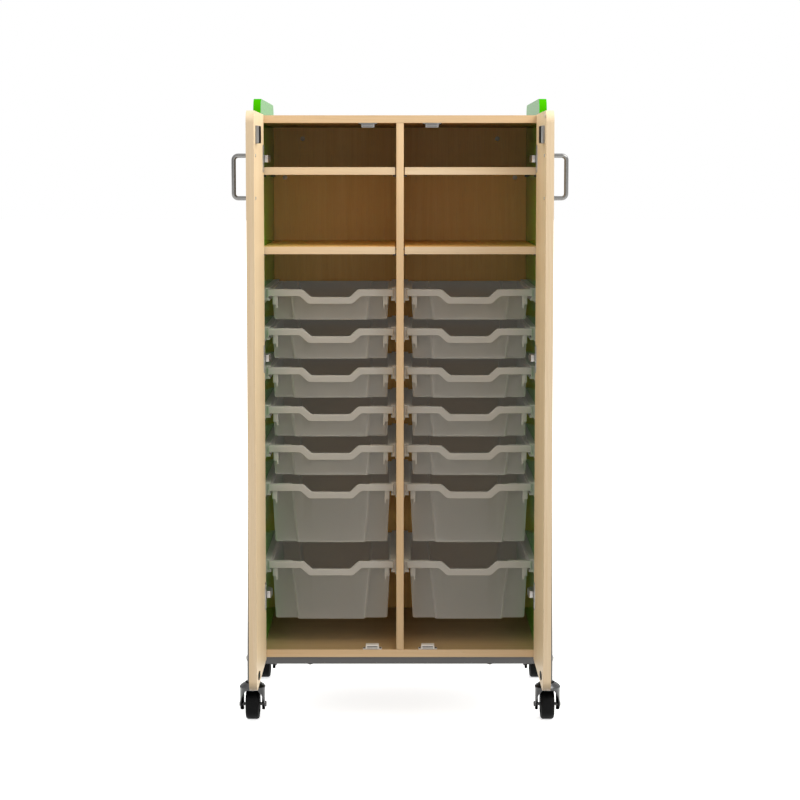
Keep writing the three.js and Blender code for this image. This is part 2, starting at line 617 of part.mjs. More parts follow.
// Leg frame: one bent tube outside each side panel, leaning in from both casters to a round top.
// The lean is that of the line from the top of the upright foot that touches the bend.
const footTop = HOOD_TOP + FIT + LEG_FOOT;
const bendZ = SIDE_TOP - LEG_TOP_DROP - LEG_RADIUS - LEG_BEND;
const bendAcross = DEPTH / 2 - LEG_STAND;
const bendRise = bendZ - footTop;
const legLean = Math.atan2(bendAcross, bendRise) - Math.asin(LEG_BEND / Math.hypot(bendAcross, bendRise));
const legPath = [
  [CASTER_PLACES.front, HOOD_TOP + FIT], [CASTER_PLACES.front, footTop],
  ...arc(DEPTH / 2, bendZ, LEG_BEND, Math.PI - legLean, legLean, BEND_STEPS),
  [CASTER_PLACES.rear, footTop], [CASTER_PLACES.rear, HOOD_TOP + FIT],
].map(([y, z]) => new THREE.Vector3(LEG_X, y, z));
const stemBores = Object.values(CASTER_PLACES).map((y) =>
  cylinderZ(STEM_RADIUS + FIT, ROD_SIDES, LEG_X, y, HOOD_TOP - WELD, HOOD_TOP + STEM_LENGTH + FIT));
const legTube = rod(legPath, LEG_RADIUS, ROD_SIDES, new THREE.Vector3(1, 0, 0));
addPair('leg_frame', cut(legTube, ...stemBores), paintedSteel);

// Rails under the bottom panel, from leg to leg
const railEnd = LEG_X - LEG_RADIUS - FIT;
const railPlaces = { front_rail: LEG_STAND + RAIL_OFFSET, rear_rail: DEPTH - LEG_STAND - RAIL_OFFSET };
for (const [name, y] of Object.entries(railPlaces)) {
  const section = roundedRectangle(y - RAIL_SIZE / 2, y + RAIL_SIZE / 2,
    BASE_Z - FIT - RAIL_SIZE, BASE_Z - FIT, RAIL_RADIUS);
  add(name, alongX(section, -railEnd, railEnd), paintedSteel);
}

// Caster hood: a round cap on a stem, open front and rear for the wheel, with the axle across it.
// It is made with its swivel axis at X = 0, Y = 0.
function casterHood() {
  const inner = HOOD_RADIUS - HOOD_WALL;
  const shoulder = HOOD_TOP - HOOD_SHOULDER_DROP;
  const bottom = WHEEL_RADIUS - HOOD_LOBE;
  const profile = [
    [0, HOOD_TOP + STEM_LENGTH], [STEM_RADIUS, HOOD_TOP + STEM_LENGTH], [STEM_RADIUS, HOOD_TOP],
    [HOOD_CROWN, HOOD_TOP], [HOOD_RADIUS + HOOD_LIP, shoulder],
    [HOOD_RADIUS + HOOD_LIP, shoulder - HOOD_LIP_HEIGHT],
    [HOOD_RADIUS, shoulder - HOOD_LIP_HEIGHT - HOOD_LIP],
    [HOOD_RADIUS, bottom - FIT], [inner, bottom - FIT],
    [inner, shoulder - HOOD_ROOF], [HOOD_CROWN, HOOD_TOP - HOOD_ROOF], [0, HOOD_TOP - HOOD_ROOF],
  ].map(([r, z]) => new THREE.Vector2(r, z));
  const cap = new THREE.LatheGeometry(profile.reverse(), ROUND_SIDES).rotateX(Math.PI / 2);
  const wide = HOOD_RADIUS + 2 * HOOD_LIP;
  const cheekTop = WHEEL_RADIUS + HOOD_FRONT_RISE;
  const stemTop = HOOD_TOP + STEM_LENGTH + WELD;
  const lobeStart = THREE.MathUtils.degToRad(HOOD_LOBE_START);
  const lobeEnd = THREE.MathUtils.degToRad(HOOD_LOBE_END);
  const cheeks = alongX(outline([
    [-wide, stemTop], [-wide, cheekTop], [-HOOD_FRONT_DEPTH, cheekTop],
    ...arc(TRAIL, WHEEL_RADIUS, HOOD_LOBE, lobeStart, lobeEnd, LOBE_STEPS),
    [wide, WHEEL_RADIUS], [wide, stemTop],
  ]), -wide, wide);
  const half = WHEEL_WIDTH / 2 + TUNNEL_SIDE_SPACE;
  const tunnelTop = 2 * WHEEL_RADIUS + TUNNEL_HEADROOM;
  const tunnelShape = roundedRectangle(-half, half, -tunnelTop, tunnelTop, TUNNEL_RADIUS);
  const tunnel = alongY(tunnelShape, -wide, wide);
  const axle = cylinderX(AXLE_RADIUS, PIN_SIDES, -HOOD_RADIUS + WELD, HOOD_RADIUS - WELD,
    TRAIL, WHEEL_RADIUS);
  const headInner = HOOD_RADIUS - WELD - AXLE_HEAD_LENGTH;
  const heads = [-1, 1].map((side) => {
    const ends = [side * headInner, side * (HOOD_RADIUS - WELD)].sort((a, b) => a - b);
    return cylinderX(AXLE_HEAD_RADIUS, ROD_SIDES, ends[0], ends[1], TRAIL, WHEEL_RADIUS);
  });
  return join(cut(common(cap, cheeks), tunnel), axle, ...heads);
}

// Caster wheel: a rounded tread, recessed sides and a hub, turned about its axle
function casterWheel() {
  const half = WHEEL_WIDTH / 2;
  const web = half - WHEEL_RECESS;
  const bore = AXLE_RADIUS + FIT;
  const rim = WHEEL_RADIUS - WHEEL_RIM;
  const tread = arc(WHEEL_RADIUS - WHEEL_ROUND, half - WHEEL_ROUND, WHEEL_ROUND,
    0, Math.PI / 2, TREAD_STEPS);
  const upper = [...tread, [rim, half], [rim - WHEEL_RECESS, web], [bore, web]];
  const lower = upper.map(([r, a]) => [r, -a]).reverse();
  const profile = [...lower, ...upper, lower[0]].map(([r, a]) => new THREE.Vector2(r, a));
  return new THREE.LatheGeometry(profile, ROUND_SIDES).rotateZ(-Math.PI / 2);
}

for (const [place, y] of Object.entries(CASTER_PLACES)) {
  for (const [side, x] of [['right', LEG_X], ['left', -LEG_X]]) {
    add(`${side}_${place}_caster_hood`, casterHood().translate(x, y, 0), chrome);
    add(`${side}_${place}_wheel`, casterWheel().translate(x, y + TRAIL, WHEEL_RADIUS), blackRubber);
  }
}

unit.position.y = -(DOOR_FRONT + REAR_REACH) / 2;

export default unit;
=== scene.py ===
"""Finishes and fine pieces of a classroom tray storage unit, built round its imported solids.

Lengths in the pieces are millimetres, in the frame of the solids: X to the right, Y to the rear,
Z up from the floor. They become metres when a mesh is made.
"""

import math

import bmesh
import bpy
from bpy.props import FloatProperty, FloatVectorProperty, PointerProperty
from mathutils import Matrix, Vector


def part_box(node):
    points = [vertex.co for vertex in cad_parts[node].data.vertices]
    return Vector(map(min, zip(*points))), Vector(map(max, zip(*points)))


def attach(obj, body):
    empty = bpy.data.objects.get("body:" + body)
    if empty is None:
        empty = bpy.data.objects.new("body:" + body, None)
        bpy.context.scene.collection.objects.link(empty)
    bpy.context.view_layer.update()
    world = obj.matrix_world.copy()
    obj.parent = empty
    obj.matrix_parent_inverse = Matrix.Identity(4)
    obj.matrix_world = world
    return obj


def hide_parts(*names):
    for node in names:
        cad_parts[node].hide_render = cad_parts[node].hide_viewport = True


bl_info = {
    "name": "Classroom tray unit",
    "version": (1, 0, 0),
    "blender": (4, 5, 0),
    "location": "3D View > Sidebar > Tray Unit",
    "description": "Finishes and fine pieces of a classroom tray storage unit",
    "category": "Add Mesh",
}

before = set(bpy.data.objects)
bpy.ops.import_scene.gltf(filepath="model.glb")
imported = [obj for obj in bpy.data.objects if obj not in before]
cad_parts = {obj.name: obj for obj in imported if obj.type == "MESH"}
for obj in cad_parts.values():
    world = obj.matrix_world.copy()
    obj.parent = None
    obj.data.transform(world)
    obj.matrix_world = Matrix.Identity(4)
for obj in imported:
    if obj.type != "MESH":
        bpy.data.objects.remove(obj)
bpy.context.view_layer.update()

MM = 0.001
SIDES = ("right", "left")
ENDS = ("front", "rear")
HINGES = ("top", "middle", "bottom")
SHELVES = ("upper_shelf", "lower_shelf")
RAILS = ("front_rail", "rear_rail")
TRAYS = range(1, 8)
QUARTER = math.pi / 2
SMOOTH_ANGLE = math.radians(38)
FLAT = 0.7  # a face whose normal leans this far along an axis counts as square to it


def span(node):
    """Lowest and highest corner of a solid, in millimetres."""
    low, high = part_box(node)
    return low / MM, high / MM


def halfway(low, high):
    """The point in the middle between two corners."""
    return [(a + b) / 2 for a, b in zip(low, high)]


# Places that come from the solids
SIDE_LOW, SIDE_HIGH = span("right_side_panel")
DOOR_LOW, DOOR_HIGH = span("right_door")
BACK_LOW, BACK_HIGH = span("back_panel")
LEG_LOW, LEG_HIGH = span("right_leg_frame")
BOARD = 18  # thickness
FRONT = SIDE_LOW.y
SIDE_INNER = SIDE_HIGH.x - BOARD
LEG_X = (LEG_LOW.x + LEG_HIGH.x) / 2


# Settings

class TrayUnitSizes(bpy.types.PropertyGroup):
    """Small sizes that the looks add to the solids"""

    board_edge: FloatProperty(
        name="Board edge", description="Rounding of the board edges",
        default=1.2 * MM, min=0.2 * MM, max=3 * MM, subtype="DISTANCE", unit="LENGTH")
    door_edge: FloatProperty(
        name="Door edge", description="Rounding of the door edges",
        default=2.8 * MM, min=0.5 * MM, max=5 * MM, subtype="DISTANCE", unit="LENGTH")
    door_corner: FloatProperty(
        name="Door corner", description="Radius of the free corners of the doors",
        default=28 * MM, min=5 * MM, max=60 * MM, subtype="DISTANCE", unit="LENGTH")
    ear_corner: FloatProperty(
        name="Ear corner", description="Radius at the top of the side panels",
        default=30 * MM, min=5 * MM, max=60 * MM, subtype="DISTANCE", unit="LENGTH")
    tray_wall: FloatProperty(
        name="Tray wall", description="Thickness of the tray walls",
        default=2.2 * MM, min=1 * MM, max=4 * MM, subtype="DISTANCE", unit="LENGTH")


class TrayUnitColours(bpy.types.PropertyGroup):
    """Colours of the finishes"""

    maple_pale: FloatVectorProperty(
        name="Pale maple", description="Lighter tone of the maple boards",
        subtype="COLOR", size=3, default=(0.70, 0.555, 0.375))
    maple_dark: FloatVectorProperty(
        name="Dark maple", description="Darker tone of the grain",
        subtype="COLOR", size=3, default=(0.60, 0.435, 0.255))
    # Door face: a lighter copy of the maple, painted light that stands in for the light and sheen on the
    # inner door faces.
    face_pale: FloatVectorProperty(
        name="Pale door face", description="Lighter tone of the inner door faces, between their edges",
        subtype="COLOR", size=3, default=(0.97, 0.785, 0.52))
    face_dark: FloatVectorProperty(
        name="Dark door face", description="Darker tone of the grain on the inner door faces",
        subtype="COLOR", size=3, default=(0.88, 0.665, 0.40))
    edge_pale: FloatVectorProperty(
        name="Pale front edge", description="Lighter tone of the front edges of the carcass",
        subtype="COLOR", size=3, default=(0.65, 0.465, 0.27))
    edge_dark: FloatVectorProperty(
        name="Dark front edge", description="Darker tone of the grain on the carcass edges",
        subtype="COLOR", size=3, default=(0.55, 0.362, 0.182))
    # Panel: a darker copy of the maple, painted shade on the top and bottom panels behind their front edges.
    panel_pale: FloatVectorProperty(
        name="Pale panel", description="Lighter tone of the top and bottom panels, behind their front edges",
        subtype="COLOR", size=3, default=(0.40, 0.27, 0.13))
    panel_dark: FloatVectorProperty(
        name="Dark panel", description="Darker tone of the grain on the top and bottom panels",
        subtype="COLOR", size=3, default=(0.335, 0.212, 0.092))
    # Inside: a lighter, warmer copy of the maple, painted light that stands in for the light filling the
    # bays.
    inside_pale: FloatVectorProperty(
        name="Pale inside", description="Lighter tone of the board faces inside, behind their front edges",
        subtype="COLOR", size=3, default=(0.92, 0.59, 0.20))
    inside_dark: FloatVectorProperty(
        name="Dark inside", description="Darker tone of the grain inside",
        subtype="COLOR", size=3, default=(0.82, 0.48, 0.14))
    green: FloatVectorProperty(
        name="Green", description="Laminate of the side panels",
        subtype="COLOR", size=3, default=(0.074, 0.53, 0.002))
    green_edge: FloatVectorProperty(
        name="Green edge", description="Edge band of the side panels",
        subtype="COLOR", size=3, default=(0.048, 0.37, 0.001))
    tray: FloatVectorProperty(
        name="Tray", description="Frosted plastic of the trays and runners",
        subtype="COLOR", size=3, default=(0.60, 0.565, 0.50))
    # Colour of the light let through the tray walls, and of their painted glow.
    tray_light_and_painted_glow: FloatVectorProperty(
        name="Tray glow", description="Light that comes through the tray walls",
        subtype="COLOR", size=3, default=(0.97, 0.955, 0.92))
    steel: FloatVectorProperty(
        name="Painted steel", description="Paint of the legs and rails",
        subtype="COLOR", size=3, default=(0.09, 0.087, 0.085))
    # Far darker than bare bright metal: a painted reflection of the dark surroundings the hoods reflect.
    chrome: FloatVectorProperty(
        name="Caster metal", description="Dark bright metal of the caster hoods",
        subtype="COLOR", size=3, default=(0.075, 0.075, 0.075))
    nickel: FloatVectorProperty(
        name="Hinge metal", description="Metal of the hinges, pulls, top catches and screws",
        subtype="COLOR", size=3, default=(0.50, 0.49, 0.47))
    # Also the painted shade inside the caster hoods.
    rubber: FloatVectorProperty(
        name="Wheel", description="Black of the wheels, strikes and collars",
        subtype="COLOR", size=3, default=(0.004, 0.004, 0.004))
    catch: FloatVectorProperty(
        name="Catch", description="Plastic of the bottom catches, caps and pad",
        subtype="COLOR", size=3, default=(0.50, 0.475, 0.44))
    floor: FloatVectorProperty(
        name="Floor", description="Studio floor",
        subtype="COLOR", size=3, default=(0.92, 0.92, 0.92))


def sizes():
    """The unit's small sizes, as set in the sidebar."""
    return bpy.context.scene.tray_unit_sizes


def colours():
    """The unit's colours, as set in the sidebar."""
    return bpy.context.scene.tray_unit_colours


# Finishes

MIX_COLOUR = {"data_type": "RGBA"}
MIX_A, MIX_B, MIX_OUT = 6, 7, 2
WHITE = (1, 1, 1, 1)


class Wire:
    """One output in a node tree. Sums and products of wires add Math nodes."""

    def __init__(self, tree, socket=None):
        self.tree = tree
        self.socket = socket

    def node(self, kind, settings=None, sockets=None, output=0):
        """Adds a node: first its settings, then the values or links of its sockets."""
        made = self.tree.nodes.new(kind)
        for key, value in (settings or {}).items():
            setattr(made, key, value)
        for key, value in (sockets or {}).items():
            if isinstance(value, Wire):
                self.tree.links.new(value.socket, made.inputs[key])
            else:
                made.inputs[key].default_value = value
        return Wire(self.tree, made.outputs[output] if made.outputs else None)

    def maths(self, operation, first, second):
        """A Math node on two values or wires."""
        return self.node("ShaderNodeMath", {"operation": operation}, {0: first, 1: second})

    def __add__(self, other):
        return self.maths("ADD", self, other)

    def __radd__(self, other):
        return self.maths("ADD", other, self)

    def __sub__(self, other):
        return self.maths("SUBTRACT", self, other)

    def __rsub__(self, other):
        return self.maths("SUBTRACT", other, self)

    def __mul__(self, other):
        return self.maths("MULTIPLY", self, other)

    def __rmul__(self, other):
        return self.maths("MULTIPLY", other, self)

    def __gt__(self, other):
        return self.maths("GREATER_THAN", self, other)

    def __lt__(self, other):
        return self.maths("LESS_THAN", self, other)

    def __mod__(self, other):
        return self.maths("MODULO", self, other)

    def __rmod__(self, other):
        return self.maths("MODULO", other, self)


def opaque(colour):
    """A colour property as four numbers."""
    return (*colour, 1.0)


def scaled(colour, share):
    """A colour made lighter or darker."""
    return [c * share for c in colour]


def finish(name, draw):
    """The material of that name, drawn the first time it is asked for."""
    material = bpy.data.materials.get(name)
    if material is None:
        material = bpy.data.materials.new(name)
        material.use_nodes = True
        material.node_tree.nodes.clear()
        start = Wire(material.node_tree)
        start.node("ShaderNodeOutputMaterial", sockets={"Surface": draw(start)})
    return material


def noise(start, place, scale, detail=2.0, distortion=0.0):
    """Soft noise between 0 and 1. Scale is per metre, one number or one for each axis."""
    if not isinstance(scale, (int, float)):
        place = start.node("ShaderNodeMapping", sockets={"Vector": place, "Scale": scale})
        scale = 1.0
    return start.node("ShaderNodeTexNoise", sockets={
        "Vector": place, "Scale": scale, "Detail": detail, "Distortion": distortion})


def blend(start, share, first, second):
    """A colour between two colours."""
    return start.node("ShaderNodeMix", MIX_COLOUR, {0: share, MIX_A: first, MIX_B: second}, MIX_OUT)


def own_place(start):
    """Coordinates that move with the piece."""
    return start.node("ShaderNodeTexCoord", output="Object")


def bumps(start, height, strength, distance):
    """A bumped normal. Distance is in millimetres."""
    return start.node("ShaderNodeBump", sockets={
        "Height": height, "Strength": strength, "Distance": distance * MM})


def band(start, value, low, high):
    """A value spread over 0 to 1 between two limits."""
    return start.node("ShaderNodeMapRange", sockets={
        "Value": value, "From Min": low, "From Max": high})


EDGE_BAND = 1.0


def maple(axis, tone="maple", band_front=None, band_tone="edge"):
    """Maple board with the grain along one axis. A board with a front band has its tone behind that."""
    def along(across, lengthwise):
        scale = [across] * 3
        scale["XYZ".index(axis)] = lengthwise
        return scale

    def draw(start):
        place = own_place(start)
        fibres = noise(start, place, along(520, 10), 3)
        streaks = noise(start, place, along(75, 1.9), 4, 0.4)
        drift = noise(start, place, along(9, 0.8), 2)
        pores = band(start, noise(start, place, along(900, 40), 1), 0.62, 0.72)
        rings = noise(start, place, along(26, 0.55), 1, 1.5)
        figure = rings * 9.0 % 1.0
        shade = band(start, 0.30 * fibres + 0.42 * streaks + 0.34 * drift + 0.12 * figure, 0.38, 0.82)

        # Besides the plain maple and the edge, each tone is a lit or shaded copy of the maple: painted light
        # on the inner door faces and inside the bays, painted shade on the top and bottom panels.
        def toned(name):
            pale, dark = (opaque(getattr(colours(), f"{name}_{end}")) for end in ("pale", "dark"))
            return blend(start, shade, pale, dark)

        colour = toned(tone)
        if band_front is not None:
            depth = start.node("ShaderNodeSeparateXYZ", sockets={"Vector": place}, output="Y")
            colour = blend(start, depth > (band_front + EDGE_BAND) * MM, toned(band_tone), colour)
        colour = blend(start, pores * 0.16, colour, opaque(scaled(colours().maple_dark, 0.6)))
        return start.node("ShaderNodeBsdfPrincipled", sockets={
            "Base Color": colour, "Roughness": 0.38 + 0.14 * fibres, "Specular IOR Level": 0.35,
            "Normal": bumps(start, fibres - 0.5 * pores, 0.2, 0.1)})

    name = f"{tone}_{axis.lower()}"
    return finish(name if band_front is None else f"{name}_{band_tone}_front", draw)


def green_board(name, base, roughness, gloss):
    """Saturated green with a fine pebble."""
    def draw(start):
        place = own_place(start)
        pebble = noise(start, place, 1400, 2)
        cloud = noise(start, place, 6, 3)
        wear = noise(start, place, 60, 4)
        colour = blend(start, cloud * 0.35 + wear * 0.1, opaque(base), opaque(scaled(base, 0.88)))
        return start.node("ShaderNodeBsdfPrincipled", sockets={
            "Base Color": colour, "Roughness": roughness + 0.08 * wear, "Specular IOR Level": gloss,
            "Normal": bumps(start, pebble, 0.08, 0.05)})

    return finish(name, draw)


def green_laminate():
    """Glossy faces of the side panels."""
    return green_board("green_laminate", colours().green, roughness=0.12, gloss=0.36)


def green_edging():
    """Matt edge band of the side panels."""
    return green_board("green_edging", colours().green_edge, roughness=0.6, gloss=0.0)


def frosted_plastic(name, painted_lightness, haze_share, cover, painted_glow):
    """Hazy plastic that lets light through, with a fine moulded texture and a faint painted glow."""
    def draw(start):
        place = own_place(start)
        haze = noise(start, place, 14, 3)
        grit = noise(start, place, 1100, 2)
        scuff = band(start, noise(start, place, (40, 260, 260), 4), 0.55, 0.8)
        # The lightness share makes lit and shaded copies of the tray colour: painted light and shade.
        base = scaled(colours().tray, painted_lightness)
        colour = blend(start, haze * 0.4 + grit * 0.2, opaque(base), opaque(scaled(base, 0.88)))
        colour = blend(start, scuff * 0.12, colour, opaque([min(1, c) for c in scaled(base, 1.2)]))
        # The emission is a painted glow, on plastic that is no lamp.
        skin = start.node("ShaderNodeBsdfPrincipled", sockets={
            "Base Color": colour, "Roughness": 0.34 + 0.16 * grit + 0.08 * scuff, "Alpha": cover,
            "Emission Color": opaque(colours().tray_light_and_painted_glow), "Emission Strength": painted_glow,
            "Normal": bumps(start, grit, 0.2, 0.08)})
        glow = start.node("ShaderNodeBsdfTranslucent", sockets={"Color": opaque(colours().tray_light_and_painted_glow)})
        return start.node("ShaderNodeMixShader", sockets={0: haze_share, 1: skin, 2: glow})

    return finish(name, draw)


def tray_body_shade_and_glow():
    """Thin walls of the trays: a darker copy of the tray colour, painted shade under the rims, with a painted
    glow that lights the insides.
    """
    return frosted_plastic("tray_body_shade_and_glow", painted_lightness=0.36, haze_share=0.56, cover=0.8, painted_glow=0.052)


def tray_rim():
    """Thick rims and ribs of the trays, and the runners, in the lighter copy of the tray colour, with a faint
    painted glow.
    """
    return frosted_plastic("tray_rim", painted_lightness=0.70, haze_share=0.34, cover=1.0, painted_glow=0.03)


def tray_flank_highlight():
    """Steep flanks of the front panels, painted lighter and glowing: a painted highlight along them."""
    return frosted_plastic("tray_flank_highlight", painted_lightness=0.5, haze_share=0.4, cover=1.0, painted_glow=0.07)


def metal(name, base, roughness, spread, grain, metallic=1.0):
    """Metal with a fine grain in its gloss and colour."""
    def draw(start):
        place = own_place(start)
        fine = noise(start, place, grain, 3)
        cloud = noise(start, place, 22, 3)
        colour = blend(start, 0.6 * fine + 0.3 * cloud, opaque(base), opaque(scaled(base, 0.8)))
        return start.node("ShaderNodeBsdfPrincipled", sockets={
            "Base Color": colour, "Metallic": metallic,
            "Roughness": roughness + spread * fine + 0.5 * spread * cloud,
            "Normal": bumps(start, fine, 0.12, 0.05)})

    return finish(name, draw)


def leg_paint():
    """Metallic paint of the legs and rails."""
    return metal("leg_paint", colours().steel, roughness=0.34, spread=0.12, grain=1600, metallic=0.55)


def caster_metal():
    """Bright pressed metal of the caster hoods, kept dark: a painted reflection of dark surroundings."""
    return metal("caster_metal", colours().chrome, roughness=0.14, spread=0.12, grain=500)


def nickel():
    """Satin metal of the hinges and screws."""
    return metal("nickel", colours().nickel, roughness=0.26, spread=0.12, grain=900)


def pull_metal():
    """Brushed metal of the wire pulls, with its grain along the rod, kept far darker than the hinge metal: a
    painted reflection of dark surroundings.
    """
    # The darker share paints the dark reflection.
    base = scaled(colours().nickel, 0.38)
    return metal("pull_metal", base, roughness=0.12, spread=0.1, grain=(1500, 1500, 90))


def catch_metal():
    """Grey metal of the top catches and the strike housings."""
    base = scaled(colours().nickel, 0.48)
    return metal("catch_metal", base, roughness=0.3, spread=0.12, grain=900)


def black_rubber():
    """Wheel tread and small black pieces, faintly dusty, and the painted shade inside the caster hoods."""
    def draw(start):
        place = own_place(start)
        dust = band(start, noise(start, place, 120, 4), 0.45, 0.8)
        grit = noise(start, place, 1500, 2)
        base = colours().rubber
        colour = blend(start, dust * 0.5, opaque(base), opaque([c + 0.006 for c in base]))
        return start.node("ShaderNodeBsdfPrincipled", sockets={
            "Base Color": colour, "Roughness": 0.45 + 0.2 * dust, "Specular IOR Level": 0.07,
            "Normal": bumps(start, grit, 0.2, 0.06)})

    return finish("black_rubber", draw)


def catch_plastic():
    """Pale moulded plastic of the bottom catches, the back caps and the pad."""
    def draw(start):
        place = own_place(start)
        grit = noise(start, place, 1300, 2)
        cloud = noise(start, place, 30, 2)
        base = colours().catch
        colour = blend(start, cloud, opaque(base), opaque(scaled(base, 0.9)))
        return start.node("ShaderNodeBsdfPrincipled", sockets={
            "Base Color": colour, "Roughness": 0.42 + 0.15 * grit,
            "Normal": bumps(start, grit, 0.2, 0.06)})

    return finish("catch_plastic", draw)


def floor_paint():
    """Plain pale studio floor, with a light of its own that keeps it near white."""
    def draw(start):
        cloud = noise(start, own_place(start), 0.7, 2)
        base = colours().floor
        colour = blend(start, cloud, opaque(base), opaque(scaled(base, 0.985)))
        return start.node("ShaderNodeBsdfPrincipled", sockets={
            "Base Color": colour, "Roughness": 0.55 + 0.1 * cloud,
            "Emission Color": WHITE, "Emission Strength": 0.66})

    return finish("floor_paint", draw)


# Meshes, in millimetres

AXES = {
    "X": lambda a, b, t: (t, a, b),
    "Y": lambda a, b, t: (a, t, b),
    "Z": lambda a, b, t: (a, b, t),
}
CIRCLE_STEPS = 47
CIRCLE_END = 2 * math.pi - 0.13
MERGE = 1e-4
# Domed screw with a round socket: shares of its radius and of its height
SCREW_PROFILE = ((0, 0.3), (0.34, 0.3), (0.40, 0.95), (0.55, 1.0), (0.82, 0.72), (1.0, 0.2),
                 (1.0, -0.1), (0, -0.1))


def arc(centre_a, centre_b, radius, start, end, steps):
    """Points on an arc, from one angle to another."""
    angles = [start + (end - start) * i / steps for i in range(steps + 1)]
    return [(centre_a + radius * math.cos(t), centre_b + radius * math.sin(t)) for t in angles]


def circle(centre_a, centre_b, radius):
    """Points all round a circle."""
    return arc(centre_a, centre_b, radius, 0, CIRCLE_END, CIRCLE_STEPS)


def rounded(a0, a1, b0, b1, radii, steps=6):
    """A rectangle with round corners. Radii go round from the corner at a1, b0."""
    if isinstance(radii, (int, float)):
        radii = [radii] * 4
    corners = zip(((a1, b0, -1), (a1, b1, 0), (a0, b1, 1), (a0, b0, 2)), radii)
    points = []
    for (a, b, turn), r in corners:
        centre_a = a - r if a == a1 else a + r
        centre_b = b - r if b == b1 else b + r
        points += arc(centre_a, centre_b, r, turn * QUARTER, (turn + 1) * QUARTER, steps)
    return points


def lofted(rings):
    """A closed solid through rings of equally many points."""
    bm = bmesh.new()
    loops = [[bm.verts.new(point) for point in ring] for ring in rings]
    count = len(rings[0])
    for low, high in zip(loops, loops[1:]):
        for i in range(count):
            j = (i + 1) % count
            bm.faces.new((low[i], low[j], high[j], high[i]))
    bm.faces.new(loops[0][::-1])
    bm.faces.new(loops[-1])
    return bm


def soften(bm, edges, size, steps):
    """Rounds some edges of a mesh."""
    bmesh.ops.bevel(bm, geom=list(edges), offset=size, segments=steps, profile=0.5,
                    affect="EDGES", clamp_overlap=True)


def slab(outline, axis, low, high, edge=0.0, steps=3):
    """An outline pushed along an axis, with the edges of both faces rounded."""
    bm = lofted([[AXES[axis](a, b, t) for a, b in outline] for t in (low, high)])
    if edge:
        caps = [face for face in bm.faces if len(face.verts) == len(outline)]
        soften(bm, {rim for face in caps[-2:] for rim in face.edges}, edge, steps)
    return bm


def block(low, high, edge, steps=2):
    """A box with every edge rounded."""
    outline = [(low[0], low[1]), (high[0], low[1]), (high[0], high[1]), (low[0], high[1])]
    bm = slab(outline, "Z", low[2], high[2])
    soften(bm, bm.edges, edge, steps)
    return bm


def turned(profile, axis, centre, sides=48):
    """A closed profile of (radius, place along the axis) points, turned about the axis."""
    bm = bmesh.new()
    spots = []
    for i in range(sides):
        angle = 2 * math.pi * i / sides
        spots.append([bm.verts.new(AXES[axis](r * math.cos(angle), r * math.sin(angle), t))
                      for r, t in profile])
    count = len(profile)
    for this, after in zip(spots, spots[1:] + spots[:1]):
        for k in range(count):
            n = (k + 1) % count
            if profile[k][0] > 0 or profile[n][0] > 0:
                bm.faces.new((this[k], after[k], after[n], this[n]))
    bmesh.ops.remove_doubles(bm, verts=bm.verts, dist=MERGE)
    bmesh.ops.dissolve_degenerate(bm, edges=bm.edges, dist=MERGE)
    bmesh.ops.translate(bm, vec=centre, verts=bm.verts)
    return bm


def flipped(profile, direction):
    """A profile for turning that stands out along its axis in one direction."""
    return [(r, direction * t) for r, t in profile]


def rod(points, radius, across, sides=24):
    """A round rod through points in one plane. Across is that plane's normal."""
    across = Vector(across)
    points = [Vector(p) for p in points]
    rings = []
    for i, point in enumerate(points):
        into = (point - points[i - 1]) if i else (points[1] - point)
        out = (points[i + 1] - point) if i + 1 < len(points) else into
        along = (into.normalized() + out.normalized()).normalized()
        side = across.cross(along) / along.dot(out.normalized())
        rings.append([point + radius * (across * math.cos(t) + side * math.sin(t))
                      for t in (2 * math.pi * k / sides for k in range(sides))])
    return lofted(rings)


def joined(*parts):
    """Several meshes as one."""
    whole = bmesh.new()
    for part in parts:
        mesh = bpy.data.meshes.new("part")
        part.to_mesh(mesh)
        part.free()
        whole.from_mesh(mesh)
        bpy.data.meshes.remove(mesh)
    return whole


def carved(body, tool, operation="DIFFERENCE"):
    """A mesh with a tool cut out of it, or what the two have in common."""
    holders = []
    for bm in (body, tool):
        bmesh.ops.recalc_face_normals(bm, faces=bm.faces)
        mesh = bpy.data.meshes.new("carving")
        bm.to_mesh(mesh)
        bm.free()
        holder = bpy.data.objects.new("carving", mesh)
        bpy.context.scene.collection.objects.link(holder)
        holders.append(holder)
    cut = holders[0].modifiers.new("cut", "BOOLEAN")
    cut.operation = operation
    cut.object = holders[1]
    cut.solver = "EXACT"
    result = bmesh.new()
    result.from_object(holders[0], bpy.context.evaluated_depsgraph_get())
    for holder in holders:
        bpy.data.meshes.remove(holder.data)
    return result


def mirrored(bm):
    """The same mesh on the other side of the plane X = 0."""
    twin = bm.copy()
    bmesh.ops.scale(twin, vec=(-1, 1, 1), verts=twin.verts)
    bmesh.ops.reverse_faces(twin, faces=twin.faces)
    return twin


def screw_head(centre, axis, direction, radius, height, sides=20):
    """A domed head with a round socket. Direction is the way that it stands out along the axis."""
    points = [(radius * r, direction * height * t) for r, t in SCREW_PROFILE]
    return turned(points, axis, centre, sides)


def as_mesh(name, bm, *materials):
    """A finished mesh in metres, smooth where its faces meet at a small angle."""
    bmesh.ops.recalc_face_normals(bm, faces=bm.faces)
    bmesh.ops.scale(bm, vec=(MM, MM, MM), verts=bm.verts)
    mesh = bpy.data.meshes.new(name)
    bm.to_mesh(mesh)
    bm.free()
    mesh.shade_smooth()
    mesh.set_sharp_from_angle(angle=SMOOTH_ANGLE)
    for material in materials:
        mesh.materials.append(material)
    return mesh


